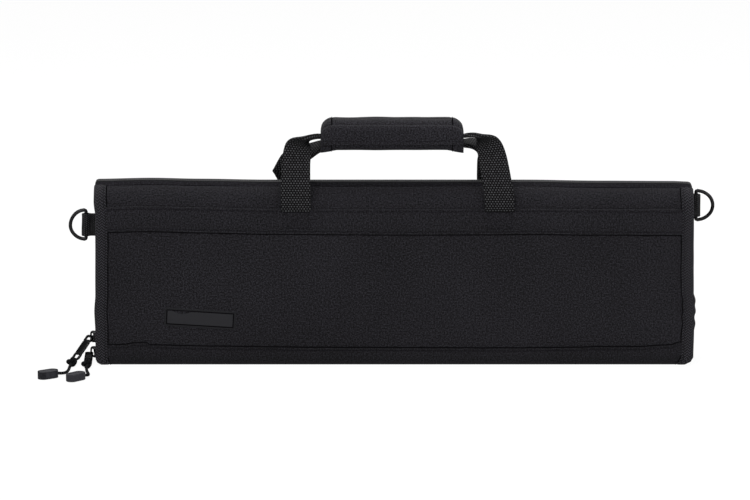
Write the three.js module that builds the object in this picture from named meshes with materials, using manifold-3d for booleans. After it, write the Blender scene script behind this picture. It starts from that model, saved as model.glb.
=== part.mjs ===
// Soft padded knife case that stands on its spine and opens like a book along a zip.
// Millimetres, +Z up, front towards -Y, origin at the middle of the spine's underside.

import * as THREE from 'three';
import { mergeVertices } from 'three/addons/utils/BufferGeometryUtils.js';
import Module from 'manifold-3d';

const wasm = await Module();
wasm.setup();

// Driving sizes of the case
const caseHalfLength = 253;
const caseHalfDepth = 22;
const caseHeight = 155.5;
const topRadius = 20;
const seat = 0.3;
const overrun = 1;
const arcSteps = 8;
const quarterTurn = Math.PI / 2;
const halfTurn = Math.PI;

// Walls of each cover, from the outside in
const panelThickness = 1.6;
const paddingThickness = 2.6;
const liningThickness = 1;
const gussetThickness = 2.4;
const trimThickness = 1;
const hingeRadius = 4.5;
const innerLayersBottom = 11.5;

// Spine between the two covers
const spineBoardThickness = 2.5;
const spineBoardMargin = 3;
const spineEndMargin = 3;

// Trims on the front and rear faces
const bindingWidth = 10.5;
const bindingReturn = 6;
const bandBelowTop = 18.5;
const bandWidth = 21.8;
const bandThickness = 1.2;
const baseStripTop = 16.2;
const badgeLength = 61;
const badgeWidth = 16;
const badgeThickness = 1.8;
const badgeCorner = 2;
const badgeFromEnd = 87;
const badgeZ = 40.3;
const badgeTilt = 0.055;

// Zip between the covers
const zipEdge = 11.3;
const tapeThickness = 1.2;
const coilWidth = 2.2;
const coilThickness = 2;
const chainGap = 2;
const zipBottom = 6.5;

// Sliders and their pulls at the left end
const sliderWidth = 9;
const sliderLength = 11;
const sliderPlateThickness = 1.5;
const sliderPostThickness = 1.2;
const sliderPostLength = 5;
const sliderCorner = 2;
const bailRadius = 0.8;
const bailReach = 4;
const bailHalfSpan = 4.9;
const upperSliderZ = 19.6;
const lowerSliderZ = 6;
const pullDrop = 1.6;
const pullLength = 29;
const pullWidth = 7;
const pullThickness = 1.8;
const pullEyeRadius = 2.2;
const pullCordEyeRadius = 1.6;
const pullWaistWidth = 5.4;
const upperPullHeading = -2.059;
const upperPullPitch = -0.528;
const lowerPullHeading = -1.545;
const lowerPullPitch = -0.035;
const cordDiameter = 2.6;
const cordSides = 8;
const knotLength = 8;
const knotRadius = 3.4;
const knotSteps = 6;
const knotSides = 12;
const cordEndLength = 18.5;
const cordEndWidth = 10;
const cordEndThickness = 6.4;
const cordEndEdge = 1.6;
const cordEndSteps = 6;

// Ring and tab at each end, one on each cover
const ringOpening = 20.5;
const ringDepth = 13;
const ringWire = 3.2;
const ringSides = 10;
const ringSteps = 20;
const tabWidth = 19.6;
const tabThickness = 1.5;
const frontTabReach = 8.5;
const rearTabReach = 4.5;
const tabClearance = 0.4;
const ringY = 8;
const frontRingBelowTop = 35.7;
const rearRingBelowTop = 22.3;

// Straps and padded grip
const webbingWidth = 25;
const webbingThickness = 1.6;
const foldedWidth = 9.5;
const foldedThickness = 3.2;
const strapHalfPitch = 86.5;
const handRoom = 26;
const frontRunRise = 14.5;
const rearRunRise = 6.5;
const runY = 6.6;
const gripHalfLength = 60.75;
const gripHeight = 28.5;
const gripParting = 0.3;
const frontGripDepth = 12.6;
const rearGripDepth = 15.2;
const gripCorner = 9;
const slotClearance = 0.3;
const closureThickness = 0.6;
const closureWidth = 12;
const closureEndMargin = 14;
const closureRise = 9.5;
const flapThickness = 1.3;
const flapWidth = 16.2;
const flapBelowTop = 3.8;
const flapEndMargin = 1.5;

// Pockets and page inside
const pocketSheet = 1;
const pocketSeam = 1.4;
const pocketBottom = 14;
const pocketBelowTop = 21;
const sleeveDepth = 6.4;
const sleeveCount = 4;
const toolSleeveCount = 3;
const sleeveEndMargin = 7;
const knifeSleeveLength = 262;
const toolSleeveLength = 200;
const knifeElasticGap = 80;
const toolElasticGap = 66;
const elasticLength = 32;
const meshPocketGap = 40;
const meshPocketEndMargin = 9;
const meshPocketBelowTop = 34;
const meshPocketDepth = 5.6;
const pageThickness = 3;
const pageEndMargin = 10;
const pageBelowTop = 16;

// Places that follow from the sizes above
const hingeY = caseHalfDepth - hingeRadius;
const hingeZ = hingeRadius + seat;
const archZ = caseHeight - topRadius;
const archY = caseHalfDepth - topRadius;
const gussetInner = caseHalfLength + seat;
const gussetOuter = gussetInner + gussetThickness;
const bindingOuter = gussetOuter + seat + trimThickness;
const trimOuter = seat + trimThickness;
const bandOuter = seat + bandThickness;
const paddingOffset = panelThickness + seat;
const liningOffset = paddingOffset + paddingThickness + seat;
const liningFace = caseHalfDepth - liningOffset - liningThickness;
const bandTop = caseHeight - bandBelowTop;
const badgeX = badgeFromEnd - caseHalfLength;
const gripBottom = caseHeight + handRoom;
const gripTop = gripBottom + gripHeight;
const frontRunZ = gripBottom + frontRunRise;
const rearRunZ = gripBottom + rearRunRise;
const closureBottom = gripBottom + closureRise;
const flapTop = gripTop - flapBelowTop;
const pocketTop = caseHeight - pocketBelowTop;
const meshPocketTop = caseHeight - meshPocketBelowTop;
const pageTop = caseHeight - pageBelowTop;
const pageHalfLength = caseHalfLength - pageEndMargin;
const sleeveStart = sleeveEndMargin - caseHalfLength;
const knifeElasticStart = sleeveStart + knifeSleeveLength + knifeElasticGap;
const toolElasticStart = sleeveStart + toolSleeveLength + toolElasticGap;
const meshPocketStart = toolElasticStart + elasticLength + meshPocketGap;
const meshPocketLength = caseHalfLength - meshPocketEndMargin - meshPocketStart;
const chainInner = chainGap / 2;
const chainOuter = chainInner + coilWidth;
const tapeInner = chainOuter + seat;
const tapeOuter = zipEdge - seat;
const spineHalfWidth = hingeY - Math.sqrt((hingeRadius + seat) ** 2 - (hingeZ - panelThickness) ** 2);
const spineTop = panelThickness + seat + spineBoardThickness;
const strapPivotY = caseHalfDepth + bandOuter + seat + webbingThickness / 2;
const strapPivotZ = bandTop + seat;
const sliderFace = gussetOuter + coilThickness / 2 + seat;
const bailX = -(sliderFace + sliderPlateThickness + bailReach);

function look(color, roughness, metalness = 0) {
  return new THREE.MeshStandardMaterial({ color, roughness, metalness });
}

const canvas = () => look(0x2a282c, 0.85);
const paleCanvas = () => look(0x343237, 0.85);
const liningCloth = () => look(0x2b2b2e, 0.9);
const foam = () => look(0x55555a, 0.95);
const webbing = () => look(0x1f1f21, 0.6);
const rubber = () => look(0x2c2c2e, 0.7);
const zipNylon = () => look(0x1b1b1d, 0.5);
const blackMetal = () => look(0x151516, 0.3, 0.8);
const board = () => look(0x3a3a3c, 0.9);

// Solids are joined and cut as closed meshes whose shared corners are merged.
function toSolid(geometry) {
  const plain = geometry.clone();
  plain.deleteAttribute('normal');
  plain.deleteAttribute('uv');
  const merged = mergeVertices(plain.index ? plain.toNonIndexed() : plain);
  return new wasm.Manifold(new wasm.Mesh({
    numProp: 3,
    vertProperties: new Float32Array(merged.attributes.position.array),
    triVerts: new Uint32Array(merged.index.array),
  }));
}

function toGeometry(solid) {
  const mesh = solid.getMesh();
  const geometry = new THREE.BufferGeometry();
  geometry.setAttribute('position', new THREE.BufferAttribute(new Float32Array(mesh.vertProperties), 3));
  geometry.setIndex(new THREE.BufferAttribute(new Uint32Array(mesh.triVerts), 1));
  geometry.computeVertexNormals();
  return geometry;
}

function joined(first, ...others) {
  return toGeometry(others.reduce((sum, next) => sum.add(toSolid(next)), toSolid(first)));
}

function cut(base, ...tools) {
  return toGeometry(tools.reduce((rest, tool) => rest.subtract(toSolid(tool)), toSolid(base)));
}

function mesh(name, geometry, material) {
  const piece = new THREE.Mesh(geometry, material);
  piece.name = name;
  return piece;
}

function placed(piece, x, y, z) {
  piece.position.set(x, y, z);
  return piece;
}

const shapeOf = (points) => new THREE.Shape(points.map(([u, v]) => new THREE.Vector2(u, v)));

// A section in Y and Z drawn out along X
function alongX(section, fromX, toX) {
  const settings = { depth: toX - fromX, bevelEnabled: false, curveSegments: arcSteps };
  const geometry = new THREE.ExtrudeGeometry(section, settings);
  const turn = new THREE.Matrix4().makeBasis(
    new THREE.Vector3(0, 1, 0), new THREE.Vector3(0, 0, 1), new THREE.Vector3(1, 0, 0));
  return geometry.applyMatrix4(turn).translate(fromX, 0, 0);
}

function box(lowX, highX, lowY, highY, lowZ, highZ) {
  const geometry = new THREE.BoxGeometry(highX - lowX, highY - lowY, highZ - lowZ);
  return geometry.translate((lowX + highX) / 2, (lowY + highY) / 2, (lowZ + highZ) / 2);
}

function roundedPlate(width, height, depth, corner) {
  const shape = new THREE.Shape();
  const right = width / 2;
  const top = height / 2;
  shape.moveTo(corner - right, -top);
  shape.lineTo(right - corner, -top);
  shape.absarc(right - corner, corner - top, corner, -quarterTurn, 0);
  shape.lineTo(right, top - corner);
  shape.absarc(right - corner, top - corner, corner, 0, quarterTurn);
  shape.lineTo(corner - right, top);
  shape.absarc(corner - right, top - corner, corner, quarterTurn, halfTurn);
  shape.lineTo(-right, corner - top);
  shape.absarc(corner - right, corner - top, corner, halfTurn, halfTurn + quarterTurn);
  return new THREE.ExtrudeGeometry(shape, { depth, bevelEnabled: false, curveSegments: arcSteps / 2 })
    .translate(0, 0, -depth / 2);
}

// A closed skin over a row of sections that all have the same number of corners
function skin(sections) {
  const sides = sections[0].length;
  const positions = sections.flat().flatMap((point) => [point.x, point.y, point.z]);
  const faces = [];
  for (let row = 0; row + 1 < sections.length; row += 1) {
    for (let side = 0; side < sides; side += 1) {
      const next = (side + 1) % sides;
      const a = row * sides + side;
      const b = row * sides + next;
      faces.push(a, b, b + sides, a, b + sides, a + sides);
    }
  }
  const last = (sections.length - 1) * sides;
  for (let side = 1; side + 1 < sides; side += 1) {
    faces.push(0, side + 1, side, last, last + side, last + side + 1);
  }
  const geometry = new THREE.BufferGeometry();
  geometry.setAttribute('position', new THREE.Float32BufferAttribute(positions, 3));
  geometry.setIndex(faces);
  geometry.computeVertexNormals();
  return geometry;
}

// The wall's line from a height up the face and over the rounded top to the zip's edge
function wallLine(offset, fromZ, edge) {
  const radius = topRadius - offset;
  const lastAngle = Math.asin((edge - archY) / radius);
  const points = [[offset - caseHalfDepth, fromZ]];
  for (let step = 0; step <= arcSteps; step += 1) {
    const angle = THREE.MathUtils.lerp(quarterTurn, lastAngle, step / arcSteps);
    points.push([-archY - radius * Math.sin(angle), archZ + radius * Math.cos(angle)]);
  }
  return points;
}

function wallBand(outerOffset, innerOffset, fromZ, edge) {
  return shapeOf([...wallLine(outerOffset, fromZ, edge), ...wallLine(innerOffset, fromZ, edge).reverse()]);
}

// Outer cloth with the rounded fold that turns on the spine's edge
function panelGeometry() {
  const wall = wallBand(0, panelThickness, hingeZ, zipEdge);
  const fold = new THREE.Shape().absarc(-hingeY, hingeZ, hingeRadius, 0, 2 * halfTurn);
  return joined(...[wall, fold].map((section) => alongX(section, -caseHalfLength, caseHalfLength)));
}

function paddingGeometry() {
  const wall = wallBand(paddingOffset, paddingOffset + paddingThickness, innerLayersBottom, zipEdge);
  return alongX(wall, -caseHalfLength, caseHalfLength);
}

function liningGeometry() {
  const wall = wallBand(liningOffset, liningOffset + liningThickness, innerLayersBottom, zipEdge);
  return alongX(wall, -caseHalfLength, caseHalfLength);
}

// End wall of one cover, from the face to the zip's edge
function gussetGeometry(side) {
  const bottomZ = hingeZ + hingeRadius + seat;
  const shape = shapeOf([...wallLine(0, bottomZ, zipEdge), [-zipEdge, bottomZ]]);
  const fromX = side < 0 ? -gussetOuter : gussetInner;
  return alongX(shape, fromX, fromX + gussetThickness);
}

// Tape round a corner: one leg on the face and one on the end wall
function bindingGeometry(side) {
  const faceLeg = wallBand(-trimOuter, -seat, hingeZ, zipEdge);
  const endLeg = wallBand(-trimOuter, bindingReturn, hingeZ, zipEdge);
  const outer = bindingOuter * side;
  const faceInner = (bindingOuter - bindingWidth) * side;
  const endInner = (bindingOuter - trimThickness) * side;
  return joined(
    alongX(faceLeg, Math.min(outer, faceInner), Math.max(outer, faceInner)),
    alongX(endLeg, Math.min(outer, endInner), Math.max(outer, endInner)),
  );
}

function stripOnFace(lowZ, highZ, thickness) {
  const reach = bindingOuter - bindingWidth - seat;
  const face = caseHalfDepth + seat;
  return box(-reach, reach, -face - thickness, -face, lowZ, highZ);
}

// Zip tape up one end, along the rounded top and down the other end
function tapeGeometry() {
  const filled = (offset, fromZ, edge) => shapeOf([...wallLine(offset, fromZ, edge), [-edge, fromZ]]);
  const inner = gussetOuter - tapeThickness;
  return cut(alongX(filled(0, zipBottom, tapeInner), -gussetOuter, gussetOuter),
    alongX(filled(tapeThickness, zipBottom - overrun, archY), -inner, inner),
    box(-gussetOuter - overrun, gussetOuter + overrun, -caseHalfDepth - overrun, -tapeOuter,
      0, caseHeight + overrun));
}

// Half of the zip's chain: a bar that stands a little proud of the tape
function coilGeometry() {
  const outer = gussetOuter + coilThickness / 2;
  const inner = outer - coilThickness;
  const top = caseHeight + coilThickness / 2;
  return joined(
    box(-outer, outer, -chainOuter, -chainInner, top - coilThickness, top),
    box(-outer, -inner, -chainOuter, -chainInner, zipBottom, top),
    box(inner, outer, -chainOuter, -chainInner, zipBottom, top),
  );
}

// Pockets that lie one above another, with mouths towards +X, sewn to the lining by their seams
function pocketRow(count, length, closedEnd) {
  const back = -liningFace + seat;
  const front = back + sleeveDepth;
  const pieces = [box(0, length, front, front + pocketSheet, pocketBottom, pocketTop)];
  const pitch = (pocketTop - pocketBottom - pocketSeam) / count;
  for (let seam = 0; seam <= count; seam += 1) {
    const lowZ = pocketBottom + seam * pitch;
    pieces.push(box(0, length, back, front + pocketSheet / 2, lowZ, lowZ + pocketSeam));
  }
  if (closedEnd) {
    pieces.push(box(0, pocketSeam, back, front + pocketSheet / 2, pocketBottom, pocketTop));
  }
  return joined(...pieces);
}

function meshPocketGeometry() {
  const back = -liningFace + seat;
  const front = back + meshPocketDepth;
  const inside = front + pocketSheet / 2;
  return joined(
    box(0, meshPocketLength, front, front + pocketSheet, pocketBottom, meshPocketTop),
    box(0, meshPocketLength, back, inside, pocketBottom, pocketBottom + pocketSeam),
    box(0, pocketSeam, back, inside, pocketBottom, meshPocketTop),
    box(meshPocketLength - pocketSeam, meshPocketLength, back, inside, pocketBottom, meshPocketTop),
  );
}

// Webbing folded round the ring's bar, its two layers held under the binding
function tabGeometry(reach) {
  const eye = ringWire / 2 + tabClearance;
  const outerEye = eye + tabThickness;
  const loop = new THREE.Shape().absarc(0, 0, outerEye, 0, 2 * halfTurn);
  const hole = new THREE.Path().absarc(0, 0, eye, 0, 2 * halfTurn, true);
  loop.holes.push(hole);
  const round = { depth: tabWidth, bevelEnabled: false, curveSegments: 2 * arcSteps };
  const ringPart = new THREE.ExtrudeGeometry(loop, round);
  const tongue = box(eye + tabThickness / 2, reach, -tabThickness, tabThickness, 0, tabWidth);
  return joined(ringPart, tongue).translate(0, 0, -tabWidth / 2);
}

// A round wire bent to a D, with its straight bar on the axis that it swings about
function ringGeometry() {
  const halfBar = (ringOpening + ringWire) / 2;
  const centres = [];
  const bend = ringWire;
  centres.push(new THREE.Vector3(0, 0, -halfBar + bend), new THREE.Vector3(0, 0, 0));
  centres.push(new THREE.Vector3(0, 0, halfBar - bend));
  for (let step = 0; step <= ringSteps; step += 1) {
    const angle = THREE.MathUtils.lerp(quarterTurn, -quarterTurn, step / ringSteps);
    centres.push(new THREE.Vector3(-ringDepth * Math.cos(angle), 0, halfBar * Math.sin(angle)));
  }
  return closedTube(centres, ringWire / 2, ringSides);
}

// A tube round a closed flat loop in the plane Y = 0, as a ring of sections
function closedTube(centres, radius, sides) {
  const count = centres.length;
  const positions = [];
  const faces = [];
  centres.forEach((centre, index) => {
    const before = centres[(index + count - 1) % count];
    const after = centres[(index + 1) % count];
    const along = after.clone().sub(before).normalize();
    const across = new THREE.Vector3(0, 1, 0);
    const outward = along.clone().cross(across);
    for (let side = 0; side < sides; side += 1) {
      const angle = 2 * halfTurn * side / sides;
      const corner = centre.clone()
        .addScaledVector(outward, radius * Math.cos(angle))
        .addScaledVector(across, radius * Math.sin(angle));
      positions.push(corner.x, corner.y, corner.z);
    }
    const nextIndex = (index + 1) % count;
    for (let side = 0; side < sides; side += 1) {
      const next = (side + 1) % sides;
      const a = index * sides + side;
      const b = index * sides + next;
      const c = nextIndex * sides + next;
      const d = nextIndex * sides + side;
      faces.push(a, c, b, a, d, c);
    }
  });
  const geometry = new THREE.BufferGeometry();
  geometry.setAttribute('position', new THREE.Float32BufferAttribute(positions, 3));
  geometry.setIndex(faces);
  geometry.computeVertexNormals();
  return geometry;
}

// Slider: an outer and an inner plate on one post, and an arch that holds the pull
function sliderGeometry() {
  const plate = (faceX) => roundedPlate(sliderWidth, sliderLength, sliderPlateThickness, sliderCorner)
    .rotateX(quarterTurn).rotateZ(quarterTurn).translate(faceX, 0, 0);
  const outerX = -(sliderFace + sliderPlateThickness / 2);
  const zipDepth = Math.max(tapeThickness, coilThickness / 2);
  const innerX = -(gussetOuter - zipDepth - seat - sliderPlateThickness / 2);
  const post = box(outerX, innerX, -sliderPostThickness / 2, sliderPostThickness / 2,
    -sliderPostLength / 2, sliderPostLength / 2);
  const arch = [
    new THREE.Vector3(outerX, 0, -bailHalfSpan),
    new THREE.Vector3(bailX, 0, -bailHalfSpan),
    new THREE.Vector3(bailX, 0, bailHalfSpan),
    new THREE.Vector3(outerX, 0, bailHalfSpan),
  ];
  const bars = arch.slice(1).map((end, index) => bar(arch[index], end, bailRadius));
  return joined(plate(outerX), plate(innerX), post, ...bars);
}

// A straight round bar between two points, run on past both by its radius
function bar(from, to, radius) {
  const along = to.clone().sub(from);
  const geometry = new THREE.CylinderGeometry(radius, radius, along.length() + radius * 2, arcSteps);
  const upwards = new THREE.Vector3(0, 1, 0);
  const turn = new THREE.Quaternion().setFromUnitVectors(upwards, along.clone().normalize());
  const middle = from.clone().add(to).multiplyScalar(1 / 2);
  return geometry.applyQuaternion(turn).translate(middle.x, middle.y, middle.z);
}

// Pull: a flat bar with a waist, its first eye round the arch and its second for the cord
function pullGeometry() {
  const half = pullWidth / 2;
  const waist = pullWaistWidth / 2;
  const shape = new THREE.Shape();
  const end = pullLength - half;
  shape.moveTo(0, half);
  shape.absarc(0, 0, half, quarterTurn, halfTurn + quarterTurn);
  shape.lineTo(half, -half);
  shape.lineTo(pullWidth, -waist);
  shape.lineTo(end - half, -waist);
  shape.lineTo(end, -half);
  shape.absarc(end, 0, half, -quarterTurn, quarterTurn);
  shape.lineTo(end - half, waist);
  shape.lineTo(pullWidth, waist);
  shape.lineTo(half, half);
  shape.holes.push(new THREE.Path().absarc(0, 0, pullEyeRadius, 0, 2 * halfTurn, true));
  shape.holes.push(new THREE.Path().absarc(end, 0, pullCordEyeRadius, 0, 2 * halfTurn, true));
  const depth = pullThickness;
  return new THREE.ExtrudeGeometry(shape, { depth, bevelEnabled: false, curveSegments: arcSteps })
    .translate(0, 0, -depth / 2);
}

function knotGeometry() {
  const profile = [];
  for (let step = 0; step <= knotSteps; step += 1) {
    const angle = halfTurn * step / knotSteps;
    const radius = step === 0 || step === knotSteps ? 0 : knotRadius * Math.sin(angle);
    profile.push(new THREE.Vector2(radius, -knotLength / 2 * Math.cos(angle)));
  }
  return toGeometry(toSolid(new THREE.LatheGeometry(profile, knotSides)));
}

// Moulded grip at the cord's end: a flat pill with a softened edge
function cordEndGeometry() {
  const radius = cordEndWidth / 2 - cordEndEdge;
  const reach = cordEndLength / 2 - cordEndWidth / 2;
  const shape = new THREE.Shape();
  shape.moveTo(-reach, -radius);
  shape.lineTo(reach, -radius);
  shape.absarc(reach, 0, radius, -quarterTurn, quarterTurn);
  shape.lineTo(-reach, radius);
  shape.absarc(-reach, 0, radius, quarterTurn, halfTurn + quarterTurn);
  const geometry = new THREE.ExtrudeGeometry(shape, {
    depth: cordEndThickness - 2 * cordEndEdge,
    bevelEnabled: true,
    bevelThickness: cordEndEdge,
    bevelSize: cordEndEdge,
    bevelSegments: 2,
    curveSegments: cordEndSteps,
  });
  return toGeometry(toSolid(geometry.translate(0, 0, cordEndEdge - cordEndThickness / 2)));
}

function cordGeometry(points) {
  const circle = new THREE.Shape().absarc(0, 0, cordDiameter / 2, 0, 2 * halfTurn);
  const path = new THREE.CatmullRomCurve3(points.map(([x, y, z]) => new THREE.Vector3(x, y, z)));
  const steps = Math.round(path.getLength() / cordDiameter);
  return new THREE.ExtrudeGeometry(circle, {
    steps, curveSegments: cordSides / 2, bevelEnabled: false, extrudePath: path });
}

// A strap's leg as shares: across to the grip, back and up to the run, of its turn, of its gathering
const frontLegShares = [
  [0, 0, 0, 0, 0],
  [0, 0.03, 0.1, 0, 0],
  [0, 0.12, 0.26, 0, 0],
  [0.02, 0.34, 0.46, 0, 0],
  [0.05, 0.58, 0.64, 0.04, 0],
  [0.1, 0.76, 0.79, 0.16, 0.05],
  [0.24, 0.84, 0.9, 0.42, 0.2],
  [0.46, 0.88, 0.965, 0.72, 0.45],
  [0.72, 0.94, 0.99, 0.92, 0.75],
  [0.93, 1, 1, 1, 1],
];
const rearLegShares = [
  [0, 0, 0, 0, 0],
  [-0.02, 0.03, 0.14, 0, 0],
  [-0.1, 0.16, 0.32, 0.02, 0],
  [-0.2, 0.42, 0.5, 0.1, 0],
  [-0.18, 0.68, 0.68, 0.24, 0.05],
  [0.02, 0.84, 0.8, 0.48, 0.2],
  [0.34, 0.92, 0.88, 0.76, 0.5],
  [0.68, 0.97, 0.95, 0.94, 0.8],
  [0.93, 1, 1, 1, 1],
];

// The turn from rising with the width along X to running along X with the width along Y
const turnAxis = new THREE.Vector3(1, 1, 1).normalize();
const fullTurn = 2 * halfTurn / 3;

function strapSection(shares, runZ) {
  const [acrossShare, backShare, upShare, turnShare, foldShare] = shares;
  const lerp = THREE.MathUtils.lerp;
  const centre = new THREE.Vector3(
    -lerp(strapHalfPitch, gripHalfLength, acrossShare),
    -lerp(strapPivotY, runY, backShare),
    lerp(strapPivotZ, runZ, upShare));
  const wide = new THREE.Vector3(1, 0, 0).applyAxisAngle(turnAxis, fullTurn * turnShare);
  const thick = new THREE.Vector3(0, 1, 0).applyAxisAngle(turnAxis, fullTurn * turnShare);
  const halfWidth = lerp(webbingWidth, foldedWidth, foldShare) / 2;
  const halfThickness = lerp(webbingThickness, foldedThickness, foldShare) / 2;
  return [[-1, -1], [1, -1], [1, 1], [-1, 1]].map(([a, b]) => centre.clone()
    .addScaledVector(wide, a * halfWidth).addScaledVector(thick, b * halfThickness));
}

function strapGeometry(legShares, runZ) {
  const leg = legShares.map((shares) => strapSection(shares, runZ));
  const mirror = (point) => new THREE.Vector3(-point.x, point.y, point.z);
  const mirrored = leg.map((section) => section.map(mirror));
  return skin([...leg, ...mirrored.reverse()]);
}

// Half of the padded grip, with a slot that the gathered strap runs through
function gripHalfGeometry(depth, runZ) {
  const shape = new THREE.Shape();
  const outer = -depth;
  shape.moveTo(-gripParting, gripBottom);
  shape.lineTo(-gripParting, gripTop);
  shape.lineTo(outer + gripCorner, gripTop);
  shape.absarc(outer + gripCorner, gripTop - gripCorner, gripCorner, quarterTurn, halfTurn);
  shape.lineTo(outer, gripBottom + gripCorner);
  shape.absarc(outer + gripCorner, gripBottom + gripCorner, gripCorner, halfTurn, halfTurn + quarterTurn);
  const slotHalfWidth = foldedWidth / 2 + slotClearance;
  const slotHalfHeight = foldedThickness / 2 + slotClearance;
  return cut(alongX(shape, -gripHalfLength, gripHalfLength),
    box(-gripHalfLength - overrun, gripHalfLength + overrun,
      -runY - slotHalfWidth, -runY + slotHalfWidth, runZ - slotHalfHeight, runZ + slotHalfHeight));
}

// One cover with all that is sewn to it, drawn as the front one.
// Its left and right are those of someone who faces that cover from outside.
function coverPieces(name) {
  const group = new THREE.Group();
  group.add(
    mesh(`${name}_panel`, panelGeometry(), canvas()),
    mesh(`${name}_padding`, paddingGeometry(), foam()),
    mesh(`${name}_lining`, liningGeometry(), liningCloth()),
    mesh(`${name}_handle_band`, stripOnFace(bandTop - bandWidth, bandTop, bandThickness), paleCanvas()),
    mesh(`${name}_base_strip`, stripOnFace(hingeZ, baseStripTop, trimThickness), paleCanvas()),
    mesh(`${name}_zip_tape`, tapeGeometry(), zipNylon()),
    mesh(`${name}_zip_coil`, coilGeometry(), zipNylon()),
  );
  for (const [label, side] of [['left', -1], ['right', 1]]) {
    group.add(
      mesh(`${name}_${label}_gusset`, gussetGeometry(side), canvas()),
      mesh(`${name}_${label}_binding`, bindingGeometry(side), paleCanvas()),
    );
  }
  return group;
}

function ringPieces(label, ringZ, reach) {
  const group = new THREE.Group();
  group.position.set(-gussetOuter - reach - seat, -ringY, ringZ);
  group.add(mesh(`${label}_ring_tab`, tabGeometry(reach), webbing()));
  group.add(mesh(`${label}_ring`, ringGeometry(), blackMetal()));
  return group;
}

const knifeCase = new THREE.Group();

const frontCover = coverPieces('front');
const badge = mesh('badge', roundedPlate(badgeLength, badgeWidth, badgeThickness, badgeCorner), rubber());
badge.rotation.set(quarterTurn, badgeTilt, 0, 'YXZ');
frontCover.add(placed(badge, badgeX, -(caseHalfDepth + seat + badgeThickness / 2), badgeZ));
frontCover.add(placed(mesh('tool_sleeves', pocketRow(toolSleeveCount, toolSleeveLength, true), liningCloth()),
  sleeveStart, 0, 0));
frontCover.add(placed(mesh('tool_elastic', pocketRow(toolSleeveCount, elasticLength, false), webbing()),
  toolElasticStart, 0, 0));
frontCover.add(placed(mesh('mesh_pocket', meshPocketGeometry(), liningCloth()), meshPocketStart, 0, 0));
frontCover.add(ringPieces('left', caseHeight - frontRingBelowTop, frontTabReach));

const rearCover = coverPieces('rear');
rearCover.add(placed(mesh('knife_sleeves', pocketRow(sleeveCount, knifeSleeveLength, true), liningCloth()),
  sleeveStart, 0, 0));
rearCover.add(placed(mesh('knife_elastic', pocketRow(sleeveCount, elasticLength, false), webbing()),
  knifeElasticStart, 0, 0));
rearCover.add(ringPieces('right', caseHeight - rearRingBelowTop, rearTabReach));
rearCover.rotation.z = halfTurn;

const frontHandle = new THREE.Group();
const frontGripFace = frontGripDepth + seat;
const closureTop = closureBottom + closureWidth;
const closureReach = gripHalfLength - closureEndMargin;
const hookFace = frontGripFace + closureThickness + seat;
const flapFace = hookFace + closureThickness + seat;
const flapReach = gripHalfLength - flapEndMargin;
frontHandle.add(
  mesh('front_strap', strapGeometry(frontLegShares, frontRunZ), webbing()),
  mesh('front_grip_pad', gripHalfGeometry(frontGripDepth, frontRunZ), paleCanvas()),
  mesh('loop_strip', box(-closureReach, closureReach, -frontGripFace - closureThickness, -frontGripFace,
    closureBottom, closureTop), webbing()),
  mesh('hook_strip', box(-closureReach, closureReach, -hookFace - closureThickness, -hookFace,
    closureBottom, closureTop), webbing()),
  mesh('grip_flap', box(-flapReach, flapReach, -flapFace - flapThickness, -flapFace,
    flapTop - flapWidth, flapTop), paleCanvas()),
);

const rearHandle = new THREE.Group();
rearHandle.add(
  mesh('rear_strap', strapGeometry(rearLegShares, rearRunZ), webbing()),
  mesh('rear_grip_pad', gripHalfGeometry(rearGripDepth, rearRunZ), paleCanvas()),
);
rearHandle.rotation.z = halfTurn;

const spine = new THREE.Group();
const boardHalfWidth = spineHalfWidth - spineBoardMargin;
const spineReach = caseHalfLength - spineEndMargin;
spine.add(
  mesh('spine_panel', box(-spineReach, spineReach, -spineHalfWidth, spineHalfWidth, 0, panelThickness),
    canvas()),
  mesh('spine_board', box(-spineReach, spineReach, -boardHalfWidth, boardHalfWidth,
    panelThickness + seat, spineTop), board()),
);

const pageAxisZ = spineTop + seat + pageThickness / 2;
const pageShape = new THREE.Shape();
pageShape.moveTo(pageThickness / 2, pageAxisZ);
pageShape.lineTo(pageThickness / 2, pageTop);
pageShape.lineTo(-pageThickness / 2, pageTop);
pageShape.lineTo(-pageThickness / 2, pageAxisZ);
pageShape.absarc(0, pageAxisZ, pageThickness / 2, halfTurn, 2 * halfTurn);
spine.add(mesh('blade_page', alongX(pageShape, -pageHalfLength, pageHalfLength), foam()));

// Each pull's cord, drawn by hand along the surface that the case stands on
const upperCordRoute = [
  [-276, -31.2, 3], [-276.4, -36, 2.3], [-276.7, -41.5, 1.7], [-277, -47, 1.5], [-277.6, -52.4, 1.5],
  [-279, -57.4, 1.7], [-281.6, -61.4, 2.2], [-284.8, -63.6, 2.8],
];
const lowerCordRoute = [
  [-261.9, -37.8, 3], [-261.8, -43, 2.4], [-261.4, -48.6, 1.8], [-260.6, -53.6, 1.5], [-259.7, -58, 1.5],
  [-259, -62, 1.5], [-258.9, -65.5, 1.8], [-259.8, -68.5, 2.3], [-261.9, -70.6, 2.8],
];

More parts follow.
